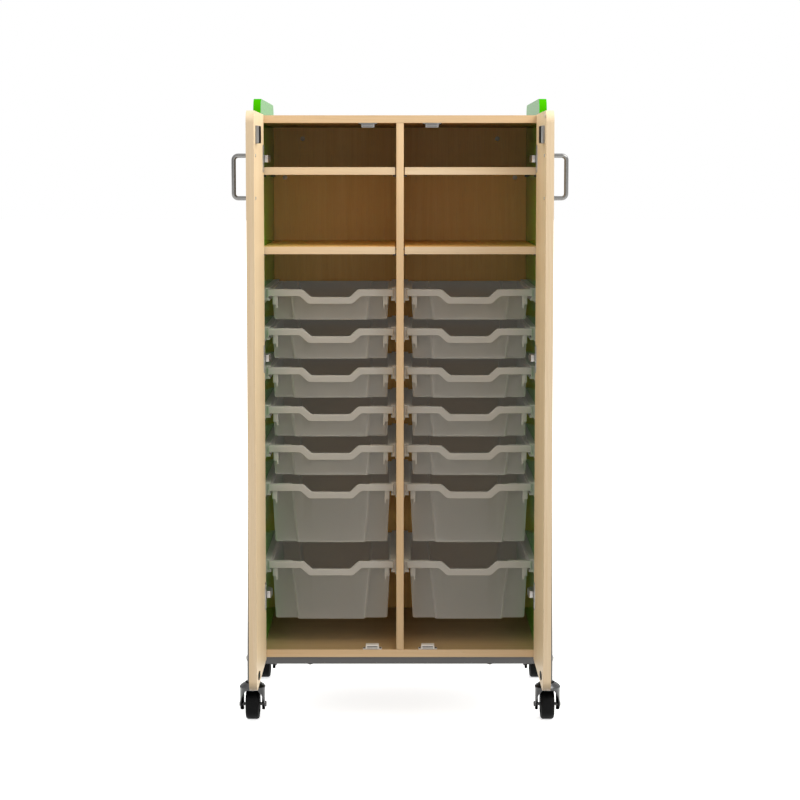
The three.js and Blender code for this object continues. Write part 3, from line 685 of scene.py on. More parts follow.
def piece(name, mesh, material, body, replaces=(), place=(0, 0, 0)):
    """A shown piece that rides on a body of the frame. A finished mesh brings its own material."""
    if isinstance(mesh, bmesh.types.BMesh):
        materials = material if isinstance(material, tuple) else (material,)
        mesh = as_mesh(name, mesh, *materials)
    made = bpy.data.objects.new(name, mesh)
    bpy.context.scene.collection.objects.link(made)
    made.location = Vector(place) * MM
    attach(made, body)
    if replaces:
        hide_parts(*replaces)
    return made


def pair(name, bm, material, body, replaces=()):
    """A piece made for the right side, and its twin on the left. Body and nodes take the side."""
    for side, mesh in zip(SIDES, (bm, mirrored(bm))):
        nodes = [node.format(side=side) for node in replaces]
        piece(f"{side}_{name}", mesh, material, body.format(side=side), nodes)


def dress(node, material, edge=0.0):
    """A new finish on a solid that stays, with rounded edges."""
    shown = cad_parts[node]
    shown.data.materials.clear()
    shown.data.materials.append(material)
    if edge:
        bevel = shown.modifiers.new("rounding", "BEVEL")
        bevel.width = edge * MM
        bevel.segments = 2
        bevel.limit_method = "ANGLE"
        bevel.harden_normals = True


# Carcass

SIDE_FOOT_CORNER = 1
CORNER_STEPS = 10
PANEL_SETBACK = 4  # of top, bottom and shelves, behind the front of the side panels
BACK_EDGE = 0.5


class TRAYUNIT_OT_boards(bpy.types.Operator):
    """Side panels with ears, divider, top, bottom, back and shelves"""

    bl_idname = "tray_unit.boards"
    bl_label = "Boards"

    def execute(self, context):
        edge = sizes().board_edge / MM
        ear = sizes().ear_corner / MM
        ears = rounded(SIDE_LOW.y, SIDE_HIGH.y, SIDE_LOW.z, SIDE_HIGH.z,
                       (SIDE_FOOT_CORNER, ear, ear, SIDE_FOOT_CORNER), CORNER_STEPS)
        side = slab(ears, "X", SIDE_INNER, SIDE_HIGH.x, edge)
        for face in side.faces:
            face.material_index = int(abs(face.normal.x) < FLAT)
        pair("side_board", side, (green_laminate(), green_edging()), "cabinet",
             ["{side}_side_panel"])
        low, high = span("centre_divider")
        divider = block((-BOARD / 2, low.y, low.z), (BOARD / 2, high.y, high.z), edge)
        # The divider's faces take the inside tone, painted light; its front edge takes the edge tone.
        piece("divider_board", divider, maple("Z", "inside", FRONT), "cabinet",
              ["centre_divider"])
        # Behind their front edges the top and bottom panels take the panel tone, painted shade.
        for node in ("top_panel", "bottom_panel"):
            dress(node, maple("X", "panel", FRONT + PANEL_SETBACK), edge)
        # The back panel and the shelf faces take the inside tone, painted light; the shelves' front edges
        # keep the plain maple.
        dress("back_panel", maple("Z", "inside"), BACK_EDGE)
        for side_name in SIDES:
            for shelf in SHELVES:
                dress(f"{side_name}_{shelf}", maple("X", "inside", FRONT + PANEL_SETBACK, "maple"), edge)
        return {"FINISHED"}


RUNNER = {
    "lap": 6.4, "plate": 2.5, "flange": 2.5, "headroom": 0.8, "shelf": 6.0, "foot": 6.0, "lip": 1.2,
    "recess": 3.2, "setback": 6, "nose": 8, "stand": 1.8, "play": 0.7, "overrun": 10, "overlap": 1,
    "edge": 0.5,
}
RUNNER_SCREW = {"radius": 3.2, "height": 1.6, "sides": 12}
RUNNER_SCREW_INSET = 30
SIDE_SKIRT = 22.0
PIN_PROFILE = ((0, 0), (3.4, 0), (3.4, 1.5), (2.5, 1.9), (2.5, 7.4), (1.9, 8), (0, 8))
PIN_INSET = 60
PIN_DROP = 2.8


def runner(wall, direction, gap, tray_low, tray_high):
    """A plastic channel on a wall, open towards the tray, with a closed nose, and its screws."""
    width = gap + RUNNER["lap"]
    plate, stand = RUNNER["plate"], RUNNER["stand"]
    shelf_top = -SIDE_SKIRT
    shelf_low = shelf_top - RUNNER["shelf"]
    foot_low = shelf_low - RUNNER["foot"]
    recess, bead = shelf_low + RUNNER["recess"], width - RUNNER["lip"]
    headroom = RUNNER["headroom"]
    roof = headroom + RUNNER["flange"]
    section = [
        (0, foot_low), (plate, foot_low), (plate, recess), (bead, recess), (bead, shelf_low),
        (width, shelf_low), (width, shelf_top), (plate, shelf_top),
        (plate, headroom), (width, headroom), (width, roof), (0, roof),
    ]
    web = gap - RUNNER["play"]
    nose = [(stand, shelf_low), (width, shelf_low), (width, shelf_top), (web, shelf_top),
            (web, headroom), (width, headroom), (width, roof), (stand, roof)]
    front, rear = tray_low.y + RUNNER["setback"], tray_high.y + RUNNER["overrun"]
    middle = front + RUNNER["nose"]

    def along(points, low, high):
        outline = [(wall + direction * reach, tray_high.z + rise) for reach, rise in points]
        return slab(outline, "Y", low, high, RUNNER["edge"], 1)

    channel = joined(along(section, middle, rear), along(nose, front, middle + RUNNER["overlap"]))
    x, z = wall + direction * plate, tray_high.z - SIDE_SKIRT / 2
    screws = [screw_head((x, y, z), "X", direction, **RUNNER_SCREW)
              for y in (front + RUNNER_SCREW_INSET, (front + rear) / 2, rear - RUNNER_SCREW_INSET)]
    return channel, joined(*screws)


class TRAYUNIT_OT_runners(bpy.types.Operator):
    """Plastic channels that carry the trays, and the shelf pins"""

    bl_idname = "tray_unit.runners"
    bl_label = "Runners"

    def execute(self, context):
        for side, way in zip(SIDES, (1, -1)):
            rows = [span(f"{side}_tray_{row}") for row in TRAYS]
            near, far = sorted(abs(corner.x) for corner in rows[0])
            walls = {
                "side": (way * SIDE_INNER, -way, SIDE_INNER - far),
                "divider": (way * BOARD / 2, way, near - BOARD / 2),
            }
            for wall, (face, direction, gap) in walls.items():
                made = [runner(face, direction, gap, *row) for row in rows]
                piece(f"{side}_{wall}_runners", joined(*[channel for channel, _ in made]), tray_rim(),
                      "cabinet")
                piece(f"{side}_{wall}_runner_screws", joined(*[screws for _, screws in made]), nickel(),
                      "cabinet")
                self.pins(side, wall, face, direction)
        return {"FINISHED"}

    def pins(self, side, wall, face, direction):
        """Steel pins under the ends of both shelves."""
        heads = []
        for shelf in SHELVES:
            bottom = span(f"{side}_{shelf}")[0].z
            for y in (FRONT + PIN_INSET, BACK_LOW.y - PIN_INSET):
                heads.append(turned(flipped(PIN_PROFILE, direction), "X", (face, y, bottom - PIN_DROP), 16))
        piece(f"{side}_{wall}_shelf_pins", joined(*heads), leg_paint(), "cabinet")


# Trays

TRAY_HALF = 155.0
TRAY_LENGTH = 427
TRAY_RIM = {"shallow": 12.8, "deep": 9.4}
DEEP_FROM = 100
RIM_CORNER = 4
RIM_THICKNESS = 2.5
RIM_ROUND = 1.8
RIM_FILLET = 0.8
LIP_HEIGHT = 16.7
SIDE_SKIRT_EDGE = 21.7
SKIRT_SOFT = 0.5
BODY_CORNER = 4
BODY_INSET = 6
WALL_DRAFT = 0.047
NECK = {"height": 2, "flare": 1.2}
MOUTH = ((0, 1.5, 0), (0, 0.4, 0.4), (1.6, 0, 1.6))  # draft height, way out from the inner wall, drop
FLOOR_ROUND = 5
FLOOR_ROUND_INSIDE = 3.5
FLOOR_MARGIN = {"outside": 11, "inside": 9}
PANEL_HALF = 95.2
PANEL_DRAFT = 0.096
PANEL_STEP = 14
PANEL_FLANK = 3.4
FLANK_SOFT = 1.2
FLANK_STATIONS = (-0.45, 0.0, 0.35, 0.65, 1.0, 1.45)
DIP_TOP = 67.6
DIP_FLOOR = 47
DIP_DEPTH = 19
DIP_SKEW = 7.2
DIP_SOFT = 3.2
DIP_STATIONS = (-1.0, -0.5, 0.0, 0.5, 1.0)
RIM_ZONE = {"ends": 3.2, "sides": 3.5, "top": 3}
FLANK_ZONE = {"depth": 40, "margin": 0.1}
RIBS = ((8.5, 0.4, 37.5), (12.4, 8.0, 46.3))  # inner and outer side in from the body's edge, drop
RIB = {"level": 20, "front": 3.5, "rear": 22, "top": 3.2, "edge": 0.7}


def ramp(value, low, high, soft):
    """0 below low, 1 above high, with softened corners."""
    steps = [min(1, max(0, (value + soft * k / 4 - low) / (high - low))) for k in range(-4, 5)]
    return sum(steps) / len(steps)


def tray_ring(half, inset, corner, step, z, panel=PANEL_HALF, dip=0, skew=0, side_z=None):
    """One loop round the tray: along the front, then counter-clockwise."""
    side_z = z if side_z is None else side_z
    dips = [skew + place + DIP_SOFT * k for place in (DIP_FLOOR, DIP_TOP) for k in DIP_STATIONS]
    flanks = [panel + PANEL_FLANK * k for k in FLANK_STATIONS]

    def sunk(x):
        return dip * (1 - ramp(abs(x), DIP_FLOOR + skew, DIP_TOP + skew, DIP_SOFT))

    def back(x):
        return step * ramp(abs(x), panel, panel + PANEL_FLANK, FLANK_SOFT)

    stations = [-x for x in reversed(dips + flanks)] + dips + flanks
    front = [(x, inset + back(x), z - sunk(x)) for x in stations]
    rear_stations = flanks[::-1] + [-x for x in flanks]
    rear = [(x, TRAY_LENGTH - inset - back(x), side_z) for x in rear_stations]
    right, near, far = half - corner, inset + step + corner, TRAY_LENGTH - inset - step - corner
    corners = [(right, near, -1), (right, far, 0), (-right, far, 1), (-right, near, 2)]
    turns = [[(x, y, side_z) for x, y in arc(a, b, corner, t * QUARTER, (t + 1) * QUARTER, 6)]
             for a, b, t in corners]
    for place, turn in ((0, turns[0]), (-1, turns[3])):
        x, y, _ = turn[place]
        turn[place] = (x, y, z)
    return front + turns[0] + turns[1] + rear + turns[2] + turns[3]


def tray_zone(spot):
    """Which finish a spot has: 0 on the rim, 1 on the thin walls with their painted shade, 2 on the flanks of
    the front panel with their painted highlight.
    """
    inside_ends = RIM_ZONE["ends"] < spot.y < TRAY_LENGTH - RIM_ZONE["ends"]
    inside_sides = abs(spot.x) < TRAY_HALF - RIM_ZONE["sides"]
    if not (inside_ends and inside_sides and spot.z < -RIM_ZONE["top"]):
        return 0
    beyond = abs(spot.x) - PANEL_HALF - PANEL_DRAFT * spot.z
    margin = FLANK_ZONE["margin"]
    return 2 if spot.y < FLANK_ZONE["depth"] and margin < beyond < PANEL_FLANK - margin else 1


def tray(kind, depth):
    """A moulded tray with a turned-down rim, proud end panels and corner ribs."""
    rim = TRAY_RIM[kind]
    wall = sizes().tray_wall / MM

    def body(height, inwards, **more):
        return {"half": TRAY_HALF - rim - WALL_DRAFT * height - inwards,
                "inset": BODY_INSET + WALL_DRAFT * height + inwards,
                "corner": BODY_CORNER, "step": PANEL_STEP, "panel": PANEL_HALF - PANEL_DRAFT * height, **more}

    def rimmed(inwards, **more):
        return {"half": TRAY_HALF - inwards, "inset": inwards, "corner": RIM_CORNER - inwards,
                "step": 0.0, "dip": DIP_DEPTH, **more}

    def skirted(inwards, rise):
        return rimmed(inwards, z=rise - LIP_HEIGHT, side_z=rise - SIDE_SKIRT_EDGE, skew=DIP_SKEW)

    def rounding(radius, steps):
        return [(radius * (1 - math.sin(t)), radius * (1 - math.cos(t)))
                for t in (QUARTER * i / steps for i in range(steps + 1))]

    floor = depth - wall
    neck = RIM_THICKNESS + NECK["height"]
    rings = [body(depth, FLOOR_MARGIN["outside"], z=-depth)]
    rings += [body(depth, inwards, z=rise - depth) for inwards, rise in rounding(FLOOR_ROUND, 4)]
    rings += [
        body(neck, 0, z=-neck, dip=DIP_DEPTH),
        body(RIM_THICKNESS, -NECK["flare"], z=-RIM_THICKNESS, dip=DIP_DEPTH),
        rimmed(wall + RIM_FILLET, z=-RIM_THICKNESS),
        rimmed(wall, z=-RIM_THICKNESS - RIM_FILLET),
        skirted(wall, SKIRT_SOFT),
        skirted(wall - SKIRT_SOFT, 0),
        skirted(SKIRT_SOFT, 0),
        skirted(0, SKIRT_SOFT),
    ]
    rings += [rimmed(inwards, z=-drop) for drop, inwards in rounding(RIM_ROUND, 3)]
    rings += [body(height, wall - kept, z=-drop, dip=DIP_DEPTH) for height, kept, drop in MOUTH]
    rings += [body(floor, wall + inwards, z=rise - floor)
              for inwards, rise in reversed(rounding(FLOOR_ROUND_INSIDE, 4))]
    rings += [body(floor, wall + FLOOR_MARGIN["inside"], z=-floor)]
    shell = lofted([tray_ring(**ring) for ring in rings])
    for face in shell.faces:
        face.material_index = tray_zone(face.calc_center_median())
    edge = TRAY_HALF - rim - WALL_DRAFT * RIB["level"]
    ribs = []
    for way in (-1, 1):
        for inner, outer, drop in RIBS:
            x0, x1 = sorted((way * (edge - inner), way * (edge - outer)))
            ribs.append(block((x0, RIB["front"], -drop), (x1, RIB["rear"], -RIB["top"]), RIB["edge"]))
    return joined(shell, *ribs)


class TRAYUNIT_OT_trays(bpy.types.Operator):
    """Fourteen frosted trays, shallow and deep"""

    bl_idname = "tray_unit.trays"
    bl_label = "Trays"

    def execute(self, context):
        meshes = {}
        for side in SIDES:
            for row in TRAYS:
                low, high = span(f"{side}_tray_{row}")
                depth = high.z - low.z
                kind = "deep" if depth > DEEP_FROM else "shallow"
                if kind not in meshes:
                    meshes[kind] = as_mesh(f"{kind}_tray", tray(kind, depth),
                                           tray_rim(), tray_body_shade_and_glow(), tray_flank_highlight())
                place = (halfway(low, high)[0], low.y, high.z)
                piece(f"{side}_tray_{row}_moulding", meshes[kind], None, f"{side}_tray_{row}_body",
                      [f"{side}_tray_{row}"], place)
        return {"FINISHED"}


# Doors

DOOR_HINGE_CORNER = 2
CUP_RADIUS = 17.5
CUP_DEPTH = 11
CUP_WALL = 1.6
BORE_PLAY = 0.3
FLANGE = 1.2
FLANGE_CORNER = 9
CUP_SCREW = {"radius": 4.2, "height": 1.2}
CUP_SCREW_RISE = 25
LINK_PIN = {"radius": 2.2, "half": 14, "sunk": 5, "rear": 9}
ARM = {"nose": 11.35, "gap": 0.6, "step": 33, "slope": 6, "half": 8.5, "edge": 1.4}
ARM_PLATE = {"thick": 2, "front": 22, "rear": 44, "edge": 0.7}


class TRAYUNIT_OT_doors(bpy.types.Operator):
    """Maple doors with round free corners and bores for the hinge cups"""

    bl_idname = "tray_unit.doors"
    bl_label = "Doors"

    def execute(self, context):
        free = sizes().door_corner / MM
        outline = rounded(DOOR_LOW.y, DOOR_HIGH.y, DOOR_LOW.z, DOOR_HIGH.z,
                          (DOOR_HINGE_CORNER, DOOR_HINGE_CORNER, free, free), CORNER_STEPS)
        leaf = slab(outline, "X", DOOR_LOW.x, DOOR_HIGH.x, sizes().door_edge / MM, 4)
        for place in HINGES:
            _, y, z = halfway(*span(f"right_{place}_hinge_cup"))
            bore = slab(circle(y, z, CUP_RADIUS + BORE_PLAY), "X",
                        DOOR_LOW.x - 1, DOOR_LOW.x + CUP_DEPTH + BORE_PLAY)
            leaf = carved(leaf, bore)
        # The inner faces take the lighter door-face tone, painted light; the edges and outer faces take the
        # plain maple.
        for face in leaf.faces:
            face.material_index = int(face.normal.x > -FLAT)
        pair("door_board", leaf, (maple("Z", "face"), maple("Z")), "{side}_door_leaf",
             ["{side}_door"])
        return {"FINISHED"}


class TRAYUNIT_OT_hinges(bpy.types.Operator):
    """Cup hinges: cups on the doors, arms on the side panels"""

    bl_idname = "tray_unit.hinges"
    bl_label = "Hinges"

    def execute(self, context):
        for place in HINGES:
            pair(f"{place}_cup", self.cup(place), nickel(), "{side}_door_leaf",
                 [f"{{side}}_{place}_hinge_cup"])
            pair(f"{place}_arm", self.arm(place), nickel(), "cabinet",
                 [f"{{side}}_{place}_hinge_arm"])
        return {"FINISHED"}

    def cup(self, place):
        """A round cup under a flat flange, with two screws and a link pin."""
        low, high = span(f"right_{place}_hinge_cup")
        _, y, z = halfway(low, high)
        face = low.x + FLANGE
        floor = face + CUP_DEPTH
        inner = CUP_RADIUS - CUP_WALL
        plate = slab(rounded(low.y, high.y, low.z, high.z, FLANGE_CORNER), "X", low.x, face, 0.4, 2)
        hole = slab(circle(y, z, inner), "X", low.x - 1, face + 1)
        shell = [(inner, low.x + 0.3), (CUP_RADIUS, low.x + 0.5), (CUP_RADIUS, floor - 1),
                 (CUP_RADIUS - 1, floor), (0, floor), (0, floor - CUP_WALL),
                 (inner - 2, floor - CUP_WALL), (inner, floor - CUP_WALL - 2)]
        radius, foot, head = LINK_PIN["radius"], z - LINK_PIN["half"], z + LINK_PIN["half"]
        pin = turned([(0, foot), (radius, foot), (radius, head), (0, head)], "Z",
                     (face + LINK_PIN["sunk"], y + LINK_PIN["rear"], 0), 16)
        screws = [screw_head((low.x, y, z + rise), "X", -1, **CUP_SCREW)
                  for rise in (-CUP_SCREW_RISE, CUP_SCREW_RISE)]
        return joined(carved(plate, hole), turned(shell, "X", (0, y, z)), pin, *screws)

    def arm(self, place):
        """A pressed arm on a mounting plate, with its screws."""
        low, high = span(f"right_{place}_hinge_arm")
        z = halfway(low, high)[2]
        tip, wall, inside = low.y, high.x, low.x
        nose, front, rear = inside + ARM["nose"], FRONT + ARM["gap"], high.y
        step, slope = FRONT + ARM["step"], ARM["slope"]
        outline = [(wall, front + 7), (wall, rear), (inside + slope, rear), (inside + slope, step + slope),
                   (inside, step), (inside, front + 1.5), (inside + 0.4, front),
                   (nose - 9, tip + 1), (nose - 8, tip), (nose - 0.7, tip), (nose, tip + 0.8),
                   (nose - 1.75, front), (wall - 7, front)]
        body = slab(outline, "Z", z - ARM["half"], z + ARM["half"], ARM["edge"], 3)
        seat = wall - ARM_PLATE["thick"]
        plate = block((seat, FRONT + ARM_PLATE["front"], low.z),
                      (wall, FRONT + ARM_PLATE["rear"], high.z), ARM_PLATE["edge"])
        # Seat, place behind the front, rise, radius and height of each screw
        screws = [screw_head((x, FRONT + y, z + rise), "X", -1, radius, height)
                  for x, y, rise, radius, height in (
                      (seat, 33, -14, 4, 1.6), (seat, 33, 14, 4, 1.6),
                      (inside, 15, 0, 3.6, 0.8), (inside + slope, 42.4, 0, 3.2, 1.2))]
        return joined(body, plate, *screws)


PULL = {"radius": 5.0, "centres": 96.0, "projection": 36.0, "bend": 10.0, "drop": 149.0, "edge": 50.0,
        "gap": 0.2}
PULL_SCREW = {"radius": 4, "height": 1.6}


class TRAYUNIT_OT_pulls(bpy.types.Operator):
    """Wire pulls with their screws through the doors"""

    bl_idname = "tray_unit.pulls"
    bl_label = "Pulls"

    def execute(self, context):
        y = DOOR_LOW.y + PULL["edge"]
        foot = DOOR_HIGH.x + PULL["gap"]
        reach = DOOR_HIGH.x + PULL["projection"] - PULL["radius"]
        middle = DOOR_HIGH.z - PULL["drop"]
        low, high = middle - PULL["centres"] / 2, middle + PULL["centres"] / 2
        bend = PULL["bend"]
        path = [(foot, low), *arc(reach - bend, low + bend, bend, -QUARTER, 0, 10),
                *arc(reach - bend, high - bend, bend, 0, QUARTER, 10), (foot, high)]
        wire = rod([(x, y, z) for x, z in path], PULL["radius"], (0, 1, 0), 28)
        pair("pull_wire", wire, pull_metal(), "{side}_door_leaf", ["{side}_pull"])
        screws = [screw_head((DOOR_LOW.x, y, z), "X", -1, **PULL_SCREW) for z in (low, high)]
        pair("pull_screws", joined(*screws), nickel(), "{side}_door_leaf")
        return {"FINISHED"}


CATCH = {"foot": 1.8, "foot_inset": 2, "foot_corner": 3, "low": 0.6, "high": 11, "half": 16, "edge": 1.1}
POLE = {"rises": (3.4, 7.2), "thick": 1.7, "half": 13, "proud": 0.35, "depth": 6, "edge": 0.25}
CATCH_SCREW = {"radius": 3.1, "height": 1.8}
CATCH_SCREW_PLACE = {"x": 19.6, "y": 9}
HOUSING = {"shell": 2.0, "face": 4, "side_inset": 0.4, "end_inset": 0.8, "corner": 3, "seat_corner": 0.6}
STRIKE_CORNER = 3
STRIKE_SCREW = {"radius": 3.2, "height": 0.6}
STRIKE_SCREW_INSET = 7
BUMPER_PROFILE = ((0, 0), (4.5, 0), (4.5, 1.2), (3.2, 2.2), (0, 2.4))
BUMPER_PLACE = {"y": 26, "drop": 12}


class TRAYUNIT_OT_catches(bpy.types.Operator):
    """Magnetic catches, and the strikes and pad on the doors"""

    bl_idname = "tray_unit.catches"
    bl_label = "Catches"

    def execute(self, context):
        self.catch("top", -1, catch_metal(), leg_paint())
        self.catch("bottom", 1, catch_plastic(), black_rubber())
        self.housing()
        self.strike()
        place = (DOOR_LOW.x, DOOR_LOW.y + BUMPER_PLACE["y"], DOOR_HIGH.z - BUMPER_PLACE["drop"])
        bumper = turned(flipped(BUMPER_PROFILE, -1), "X", place, 20)
        piece("right_bumper_pad", bumper, catch_plastic(), "right_door_leaf")
        return {"FINISHED"}

    def catch(self, place, way, body_finish, pole_finish):
        """A magnet with two poles in a body on a screwed foot. Way is up or down from its seat."""
        low, high = span(f"right_{place}_catch")
        middle = halfway(low, high)[0]
        seat = high.z if way < 0 else low.z

        def level(a, b):
            return sorted((seat + way * a, seat + way * b))

        inset = CATCH["foot_inset"]
        foot_outline = rounded(low.x, high.x, low.y + inset, high.y - inset, CATCH["foot_corner"])
        foot = slab(foot_outline, "Z", *level(0, CATCH["foot"]), 0.4, 2)
        body_low, body_high = level(CATCH["low"], CATCH["high"])
        body = block((middle - CATCH["half"], low.y, body_low),
                     (middle + CATCH["half"], high.y, body_high), CATCH["edge"], 3)
        pair(f"{place}_catch_body", joined(foot, body), body_finish, "cabinet",
             [f"{{side}}_{place}_catch"])
        bars = []
        for rise in POLE["rises"]:
            bar_low, bar_high = level(rise, rise + POLE["thick"])
            bars.append(block((middle - POLE["half"], low.y - POLE["proud"], bar_low),
                              (middle + POLE["half"], low.y + POLE["depth"], bar_high), POLE["edge"]))
        pair(f"{place}_catch_poles", joined(*bars), pole_finish, "cabinet")
        y, z = low.y + CATCH_SCREW_PLACE["y"], seat + way * CATCH["foot"]
        screws = [screw_head((middle + x, y, z), "Z", way, **CATCH_SCREW)
                  for x in (-CATCH_SCREW_PLACE["x"], CATCH_SCREW_PLACE["x"])]
        pair(f"{place}_catch_screws", joined(*screws), black_rubber(), "cabinet")

    def housing(self):
        """A metal shell with round corners and a dark face towards the catch."""
        low, high = span("right_strike_housing")
        corner, seat_corner = HOUSING["corner"], HOUSING["seat_corner"]
        shell = slab(rounded(low.x + HOUSING["shell"], high.x, low.z, high.z,
                             (seat_corner, seat_corner, corner, corner)), "Y", low.y, high.y, 0.8)
        pair("strike_shell", shell, catch_metal(), "{side}_door_leaf",
             ["{side}_strike_housing"])
        side_inset, end_inset = HOUSING["side_inset"], HOUSING["end_inset"]
        face = slab(rounded(low.y + side_inset, high.y - side_inset, low.z + end_inset, high.z - end_inset,
                            corner), "X", low.x, low.x + HOUSING["face"], 0.5, 2)
        pair("strike_face", face, black_rubber(), "{side}_door_leaf")

    def strike(self):
        """A thin plate that the bottom catch holds."""
        low, high = span("right_strike_plate")
        plate = slab(rounded(low.y, high.y, low.z, high.z, STRIKE_CORNER), "X", low.x, high.x, 0.5, 2)
        middle = halfway(low, high)[2]
        screws = [screw_head((low.x, y, middle), "X", -1, **STRIKE_SCREW)
                  for y in (low.y + STRIKE_SCREW_INSET, high.y - STRIKE_SCREW_INSET)]
        pair("strike_leaf", joined(plate, *screws), black_rubber(), "{side}_door_leaf",
             ["{side}_strike_plate"])


# Base

HOOD_TOP = 97
LEG_GAP = 0.3
LEG_BEND = 60
LEG_FOOT = 52.7
LEG_STAND = 40
LEG_DROP = 126
KNEE = {"radius": 40, "drop": 5, "steps": 4}
BOLT = {"radius": 7, "height": 4}
BOLT_SUNK = 0.6
RAIL_CORNER = 3
RAIL_SCREW = {"radius": 7, "height": 3.4}
RAIL_SCREW_PLACES = (-222, 222)


class TRAYUNIT_OT_base(bpy.types.Operator):
    """Bent leg tubes, rails and their bolts"""

    bl_idname = "tray_unit.base"
    bl_label = "Base frame"

    def execute(self, context):
        self.legs()
        for node in RAILS:
            self.rail(node)
        return {"FINISHED"}

    def legs(self):
        """One tube outside each side panel, from caster to caster over a round top."""
        radius = (LEG_HIGH.x - LEG_LOW.x) / 2
        front, rear = SIDE_LOW.y + LEG_STAND, SIDE_HIGH.y - LEG_STAND
        middle = (front + rear) / 2
        foot = HOOD_TOP + LEG_GAP
        knee = foot + LEG_FOOT
        bend_z = SIDE_HIGH.z - LEG_DROP - radius - LEG_BEND
        across, rise = middle - front, bend_z - knee
        lean = math.atan2(across, rise) - math.asin(LEG_BEND / math.hypot(across, rise))
        knees = [arc(y + way * KNEE["radius"], knee - KNEE["drop"], KNEE["radius"],
                     start, start - way * lean, KNEE["steps"])
                 for y, way, start in ((front, 1, math.pi), (rear, -1, 0))]
        path = [(front, foot), *knees[0], *arc(middle, bend_z, LEG_BEND, math.pi - lean, lean, 24),
                *reversed(knees[1]), (rear, foot)]
        tube = rod([(LEG_X, y, z) for y, z in path], radius, (1, 0, 0), 32)
        pair("leg_tube", tube, leg_paint(), "cabinet", ["{side}_leg_frame"])
        bolts = []
        for node in RAILS:
            _, y, z = halfway(*span(node))
            bolts.append(screw_head((LEG_HIGH.x - BOLT_SUNK, y, z), "X", 1, **BOLT))
        pair("leg_bolts", joined(*bolts), nickel(), "cabinet")

    def rail(self, node):
        """A square tube under the bottom panel, with two screws up through it."""
        low, high = span(node)
        bar = slab(rounded(low.y, high.y, low.z, high.z, RAIL_CORNER, 5), "X", low.x, high.x, 0.6, 2)
        piece(f"{node}_tube", bar, leg_paint(), "cabinet", [node])
        y = halfway(low, high)[1]
        screws = [screw_head((x, y, low.z), "Z", -1, **RAIL_SCREW) for x in RAIL_SCREW_PLACES]
        piece(f"{node}_screws", joined(*screws), black_rubber(), "cabinet")


WHEEL_RADIUS = 37.5
WHEEL_HALF = 17
TREAD_ROUND = 7
AXLE_Z = WHEEL_RADIUS
TRAIL = 16
HOOD_RADIUS = 31
HOOD_WALL = 2.2
HOOD_FOOT = 20
CROWN = {"radius": 13, "width": 19, "height": 10, "curve": 1.6, "wall": 5}
CROWN_RIDGES = (17, 21, 25, 28.5)
CHEEK = {"radius": 14.5, "from": math.radians(200), "to": math.radians(342), "rise": 43.5, "front": -26}
TUNNEL = {"half": 22, "low": -30, "high": 79, "corner": 14}
AXLE_PROFILE = ((0, -33), (4, -33), (4, 33), (0, 33))
WASHER_PROFILE = ((4, 22.4), (8.5, 22.4), (8.5, 24), (4, 24))
NUT_PROFILE = ((0, 27), (7, 27), (7, 31.8), (5.6, 33.6), (0, 33.6))
STEM_RADIUS = 5.5
COLLAR = {"bore": 13.1, "rim": 17.6}


def caster_hood():
    """A pressed hood with ridged crown, open front and rear, about a swivel axis at X = Y = 0."""
    shoulder = HOOD_TOP - CROWN["height"]
    ridges = []
    for r in CROWN_RIDGES:
        z = HOOD_TOP - CROWN["height"] * ((r - CROWN["radius"]) / CROWN["width"]) ** CROWN["curve"]
        ridges += [(r - 1.3, z + 0.3), (r - 0.7, z + 1.0), (r + 0.1, z + 1.0), (r + 0.7, z - 0.2)]
    outer = [(0, HOOD_TOP), (CROWN["radius"], HOOD_TOP), *ridges, (HOOD_RADIUS + 0.8, shoulder + 0.8),
             (HOOD_RADIUS + 1.2, shoulder), (HOOD_RADIUS + 1.2, shoulder - 2.4),
             (HOOD_RADIUS + 0.6, shoulder - 3.6), (HOOD_RADIUS, shoulder - 4.4), (HOOD_RADIUS, HOOD_FOOT)]
    skin, roof = HOOD_RADIUS - HOOD_WALL, HOOD_TOP - CROWN["wall"]
    inner = [(skin, HOOD_FOOT), (skin, shoulder - 6), (HOOD_RADIUS - 6, shoulder - 4),
             (CROWN["radius"], roof), (0, roof)]
    cap = turned(outer + inner, "Z", (0, 0, 0), 72)
    wide, top, brow = HOOD_RADIUS + 4, HOOD_TOP + 4, AXLE_Z + CHEEK["rise"]
    lobe = arc(TRAIL, AXLE_Z, CHEEK["radius"], CHEEK["from"], CHEEK["to"], 14)
    cheeks = slab([(-wide, top), (-wide, brow), (CHEEK["front"], brow), *lobe,
                   (wide, AXLE_Z), (wide, top)], "X", -wide, wide)
    tunnel = slab(rounded(-TUNNEL["half"], TUNNEL["half"], TUNNEL["low"], TUNNEL["high"],
                          TUNNEL["corner"], 8), "Y", -wide, wide)
    hood = carved(carved(cap, cheeks, "INTERSECT"), tunnel)
    bmesh.ops.recalc_face_normals(hood, faces=hood.faces)
    # Faces turned inwards or downwards take the black: painted shade inside the hood.
    for face in hood.faces:
        spot, out = face.calc_center_median(), face.normal
        face.material_index = int(spot.x * out.x + spot.y * out.y < -1 or out.z < -FLAT)
    return hood


def caster_axle():
    """Axle with a bolt head, a nut and washers, and the stem into the leg."""
    centre = (0, TRAIL, AXLE_Z)
    parts = [turned(AXLE_PROFILE, "X", centre, 20)]
    for way, sides in ((-1, 6), (1, 20)):
        parts.append(turned(flipped(WASHER_PROFILE, way), "X", centre, 28))
        parts.append(turned(flipped(NUT_PROFILE, way), "X", centre, sides))
    foot, end = HOOD_TOP - 6, HOOD_TOP + 34
    stem = [(0, foot), (STEM_RADIUS, foot), (STEM_RADIUS, end - 2), (STEM_RADIUS - 1, end), (0, end)]
    parts.append(turned(stem, "Z", (0, 0, 0), 20))
    return joined(*parts)


